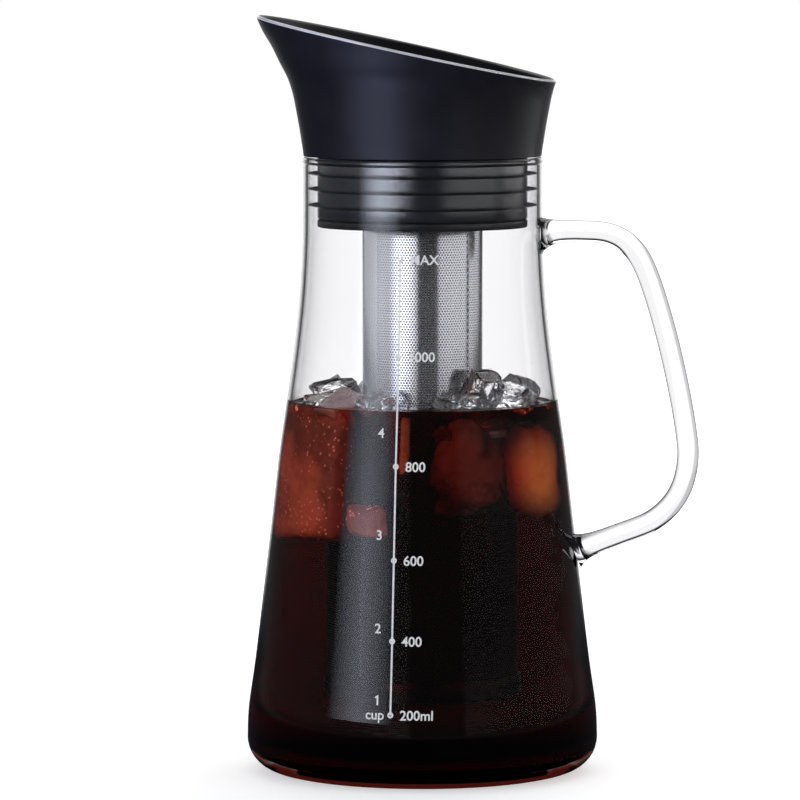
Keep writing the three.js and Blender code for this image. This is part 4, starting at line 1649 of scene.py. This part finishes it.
@dataclass
class Studio:
    """White sweep, softboxes and the camera at the photograph's place, in metres."""

    camera_angle: float = 5.0
    camera_distance: float = 1.725
    camera_height: float = 0.2609
    aim_across: float = -0.00726
    aim_height: float = 0.1198
    lens: float = 240.7
    fill: float = 0.38
    room: float = 0.06
    softboxes: Sequence[Softbox] = (
        Softbox("softbox_left", -37, 1.2, 0.3, 1.0, 1.3, 1.6, Reach.SOLID, COOL),
        Softbox("softbox_right", 58, 1.2, 0.3, 1.5, 1.3, 0.8, Reach.SOLID),
        Softbox("softbox_glass", -38, 0.36, 0.18, 0.32, 0.26, 0.17, Reach.CLEAR, COOL, 0.15, 46),
        Softbox("softbox_seal", -33, 1.2, 0.2, 0.85, 0.8, 1.4, Reach.SEAL, COOL, spread=50),
        Softbox("softbox_edge", 122, 1.2, 0.3, 0.8, 0.9, 1.6, Reach.BLACK),
        Softbox("softbox_ice", -30, 1.0, 0.3, 1.6, 0.9, 0.9, Reach.ICE),
        Softbox("softbox_steel", 82, 1.0, 0.35, 1.5, 0.9, 0.6, Reach.SCREEN),
        Softbox("softbox_steel_side", -80, 1.0, 0.35, 1.4, 0.9, 0.6, Reach.SCREEN),
        Softbox("softbox_steel_left", -36, 1.0, 0.35, 0.3, 0.9, 1.3, Reach.SCREEN),
        Softbox("softbox_steel_back", -150, 1.0, 0.35, 0.6, 0.9, 1.2, Reach.SCREEN),
        Softbox("softbox_low", -36, 0.45, 0.08, 0.36, 0.14, 3.2, Reach.SPOUT, (0.6, 0.65, 1.0)),
        Softbox("softbox_foot", -36, 0.25, 0.035, 0.2, 0.08, 5.0, Reach.SPOUT,
                (0.6, 0.62, 1.0), 0.24),
        Softbox("softbox_top", 175, 0.9, 1.2, 1.4, 0.9, 2.0),
    )

    def build(self) -> None:
        """Builds the floor, the world, the lights and the camera."""
        self._floor()
        self._world()
        for softbox in self.softboxes:
            softbox.build()
        self._camera()

    def _forward(self) -> Vector:
        """Returns the level direction that the camera looks in."""
        turn = math.radians(self.camera_angle)
        return Vector((-math.sin(turn), math.cos(turn), 0))

    def _rightward(self) -> Vector:
        """Returns the level direction to the camera's right."""
        turn = math.radians(self.camera_angle)
        return Vector((math.cos(turn), math.sin(turn), 0))

    def _backdrop(self, graph: Graph, ahead: Socket, aside: Socket) -> tuple[Socket, Socket]:
        """Gives the backdrop's level for mirrored rays and for rays bent by glass.

        Args:
            graph: The shader to add to.
            ahead: The share of the ray that goes ahead.
            aside: The share that goes to the right.

        Returns:
            The two levels, bright straight ahead and dark towards the sides.
        """
        mirrored = graph.ramp(ahead, 0.9, 0.975, self.room, 1.0)
        wide = graph.ramp(ahead, 0.5, 0.86, 0.12, 1.0)
        left = graph.ramp(aside, -0.3, -0.22, 0.62, 1.0)
        return mirrored, graph.times(wide, left)

    def _floor(self) -> None:
        """Lays the pale floor, which keeps the carafe's shadow, with painted shade for mirrored and
        bent rays and a painted shadow round the base.
        """
        material, graph = new_material("pale_floor")
        place = graph.place()
        path = graph.add("LightPath").outputs
        mirrored = graph.above(path["Glossy Depth"], 0.5)
        indirect = graph.math("MAXIMUM", mirrored, path["Is Transmission Ray"])
        tone = graph.ramp(graph.noise(place, 3.0, 2.0), 0.2, 0.8)
        pale = graph.mix(tone, (0.86, 0.86, 0.86), (0.83, 0.83, 0.83))
        # Painted shade: mirrored and bent rays see the floor's colour turn near black.
        diffuse = graph.add("BsdfDiffuse", {
            "Color": graph.mix(indirect, pale, (0.03, 0.03, 0.035))})
        away = graph.add("VectorMath", {0: place}, operation="LENGTH").outputs["Value"]
        shares = (graph.math("DIVIDE", graph.along(place, way), away)
                  for way in (self._forward(), self._rightward()))
        mirrored_level, through_glass = self._backdrop(graph, *shares)
        # Painted shadow: near the base, bent rays see a glow set by how many surfaces they have
        # passed.
        painted_shadow_under = graph.choose(graph.above(path["Transmission Depth"], 3.5), 0.02, 0.9)
        beyond = graph.choose(graph.ramp(away, 0.06, 0.2), painted_shadow_under, graph.times(through_glass, 1.1))
        level = graph.choose(path["Is Transmission Ray"], 0.0, beyond)
        level = graph.choose(path["Is Camera Ray"], level, graph.ramp(away, 0.15, 1.1, 0.5, 1.0))
        # Painted shade: in mirrors the floor's glow fades out towards the carafe.
        in_mirror = graph.times(graph.ramp(away, 0.4, 1.0), mirrored_level)
        level = graph.choose(mirrored, level, in_mirror)
        glow = graph.add("Emission", {"Strength": level})
        both = graph.add("AddShader", {0: diffuse.outputs[0], 1: glow.outputs[0]})
        graph.add("OutputMaterial", {"Surface": both.outputs[0]})
        sheet = bmesh.new()
        bmesh.ops.create_circle(sheet, cap_ends=True, segments=96, radius=6.0,
                                matrix=Matrix.Translation((0, 0, -0.0003)))
        data = bpy.data.meshes.new("floor")
        sheet.to_mesh(data)
        sheet.free()
        data.materials.append(material)
        floor = bpy.data.objects.new("floor", data)
        bpy.context.scene.collection.objects.link(floor)

    def _world(self) -> None:
        """Makes the surroundings: a white backdrop in a dark room, with pale walls for steel."""
        world = bpy.data.worlds.new("studio")
        bpy.context.scene.world = world
        world.use_nodes = True
        world.node_tree.nodes.clear()
        world.cycles.sampling_method = "NONE"
        graph = Graph(world.node_tree)
        path = graph.add("LightPath").outputs
        way = graph.add("TexCoord").outputs["Generated"]
        ahead, aside, upward = (graph.along(way, axis)
                                for axis in (self._forward(), self._rightward(), (0, 0, 1)))
        mirrored, through_glass = self._backdrop(graph, ahead, aside)
        through_glass = graph.times(through_glass, graph.ramp(upward, 0.3, 0.4, 1.0, 0.05))
        bearing = graph.math("DEGREES", graph.math("ARCTAN2", aside, graph.times(ahead, -1.0)))
        near_left = graph.times(graph.ramp(bearing, -8.0, -13.0),
                                graph.ramp(bearing, -22.0, -48.0, 2.0, 0.85))
        left = graph.times(near_left, graph.ramp(bearing, -80.0, -100.0, 1.0, 0.6))
        right = graph.ramp(bearing, 28.0, 32.0, 0.02, 1.2)
        corner = graph.times(graph.ramp(bearing, 148.0, 130.0, 0.02, 1.0),
                             graph.ramp(bearing, -155.0, -145.0, 0.03, 1.0))
        walls = graph.times(graph.math("MAXIMUM", left, right), corner)
        drowned = graph.above(path["Transmission Depth"], 5.5)
        walls = graph.times(walls, graph.ramp(drowned, 0.0, 1.0, 1.0, 0.2))
        level = graph.choose(graph.above(path["Transmission Depth"], 2.5), mirrored, walls)
        level = graph.choose(graph.above(path["Glossy Depth"], 0.5), through_glass, level)
        level = graph.choose(graph.above(path["Diffuse Depth"], 0.5), level, self.fill)
        level = graph.choose(path["Is Camera Ray"], level, 1.0)
        sky = graph.add("Background", {"Color": (1.0, 1.0, 1.0), "Strength": level})
        graph.add("OutputWorld", {"Surface": sky.outputs[0]})

    def _camera(self) -> None:
        """Stands the camera where the photograph was taken from."""
        lens = bpy.data.cameras.new("camera")
        lens.sensor_width = 36
        lens.lens = self.lens
        lens.clip_start, lens.clip_end = 0.05, 50
        camera = bpy.data.objects.new("camera", lens)
        camera.location = round_axis(self.camera_distance, math.radians(self.camera_angle),
                                     self.camera_height)
        middle = self._rightward() * self.aim_across + Vector((0, 0, self.aim_height))
        aim = middle - camera.location
        camera.rotation_euler = aim.to_track_quat("-Z", "Y").to_euler()
        bpy.context.scene.collection.objects.link(camera)
        bpy.context.scene.camera = camera


def main() -> None:
    """Builds every sub-assembly in order, then the studio round it."""
    logging.basicConfig(level=logging.INFO, format="%(message)s")
    carafe = Carafe()
    for part in (carafe, MeasureScale(carafe), Contents(carafe), Filter(), Plug(), Flap(), Spout(),
                 Studio()):
        part.build()
    bpy.context.scene.view_settings.view_transform = "Standard"


if __name__ == "__main__":
    main()
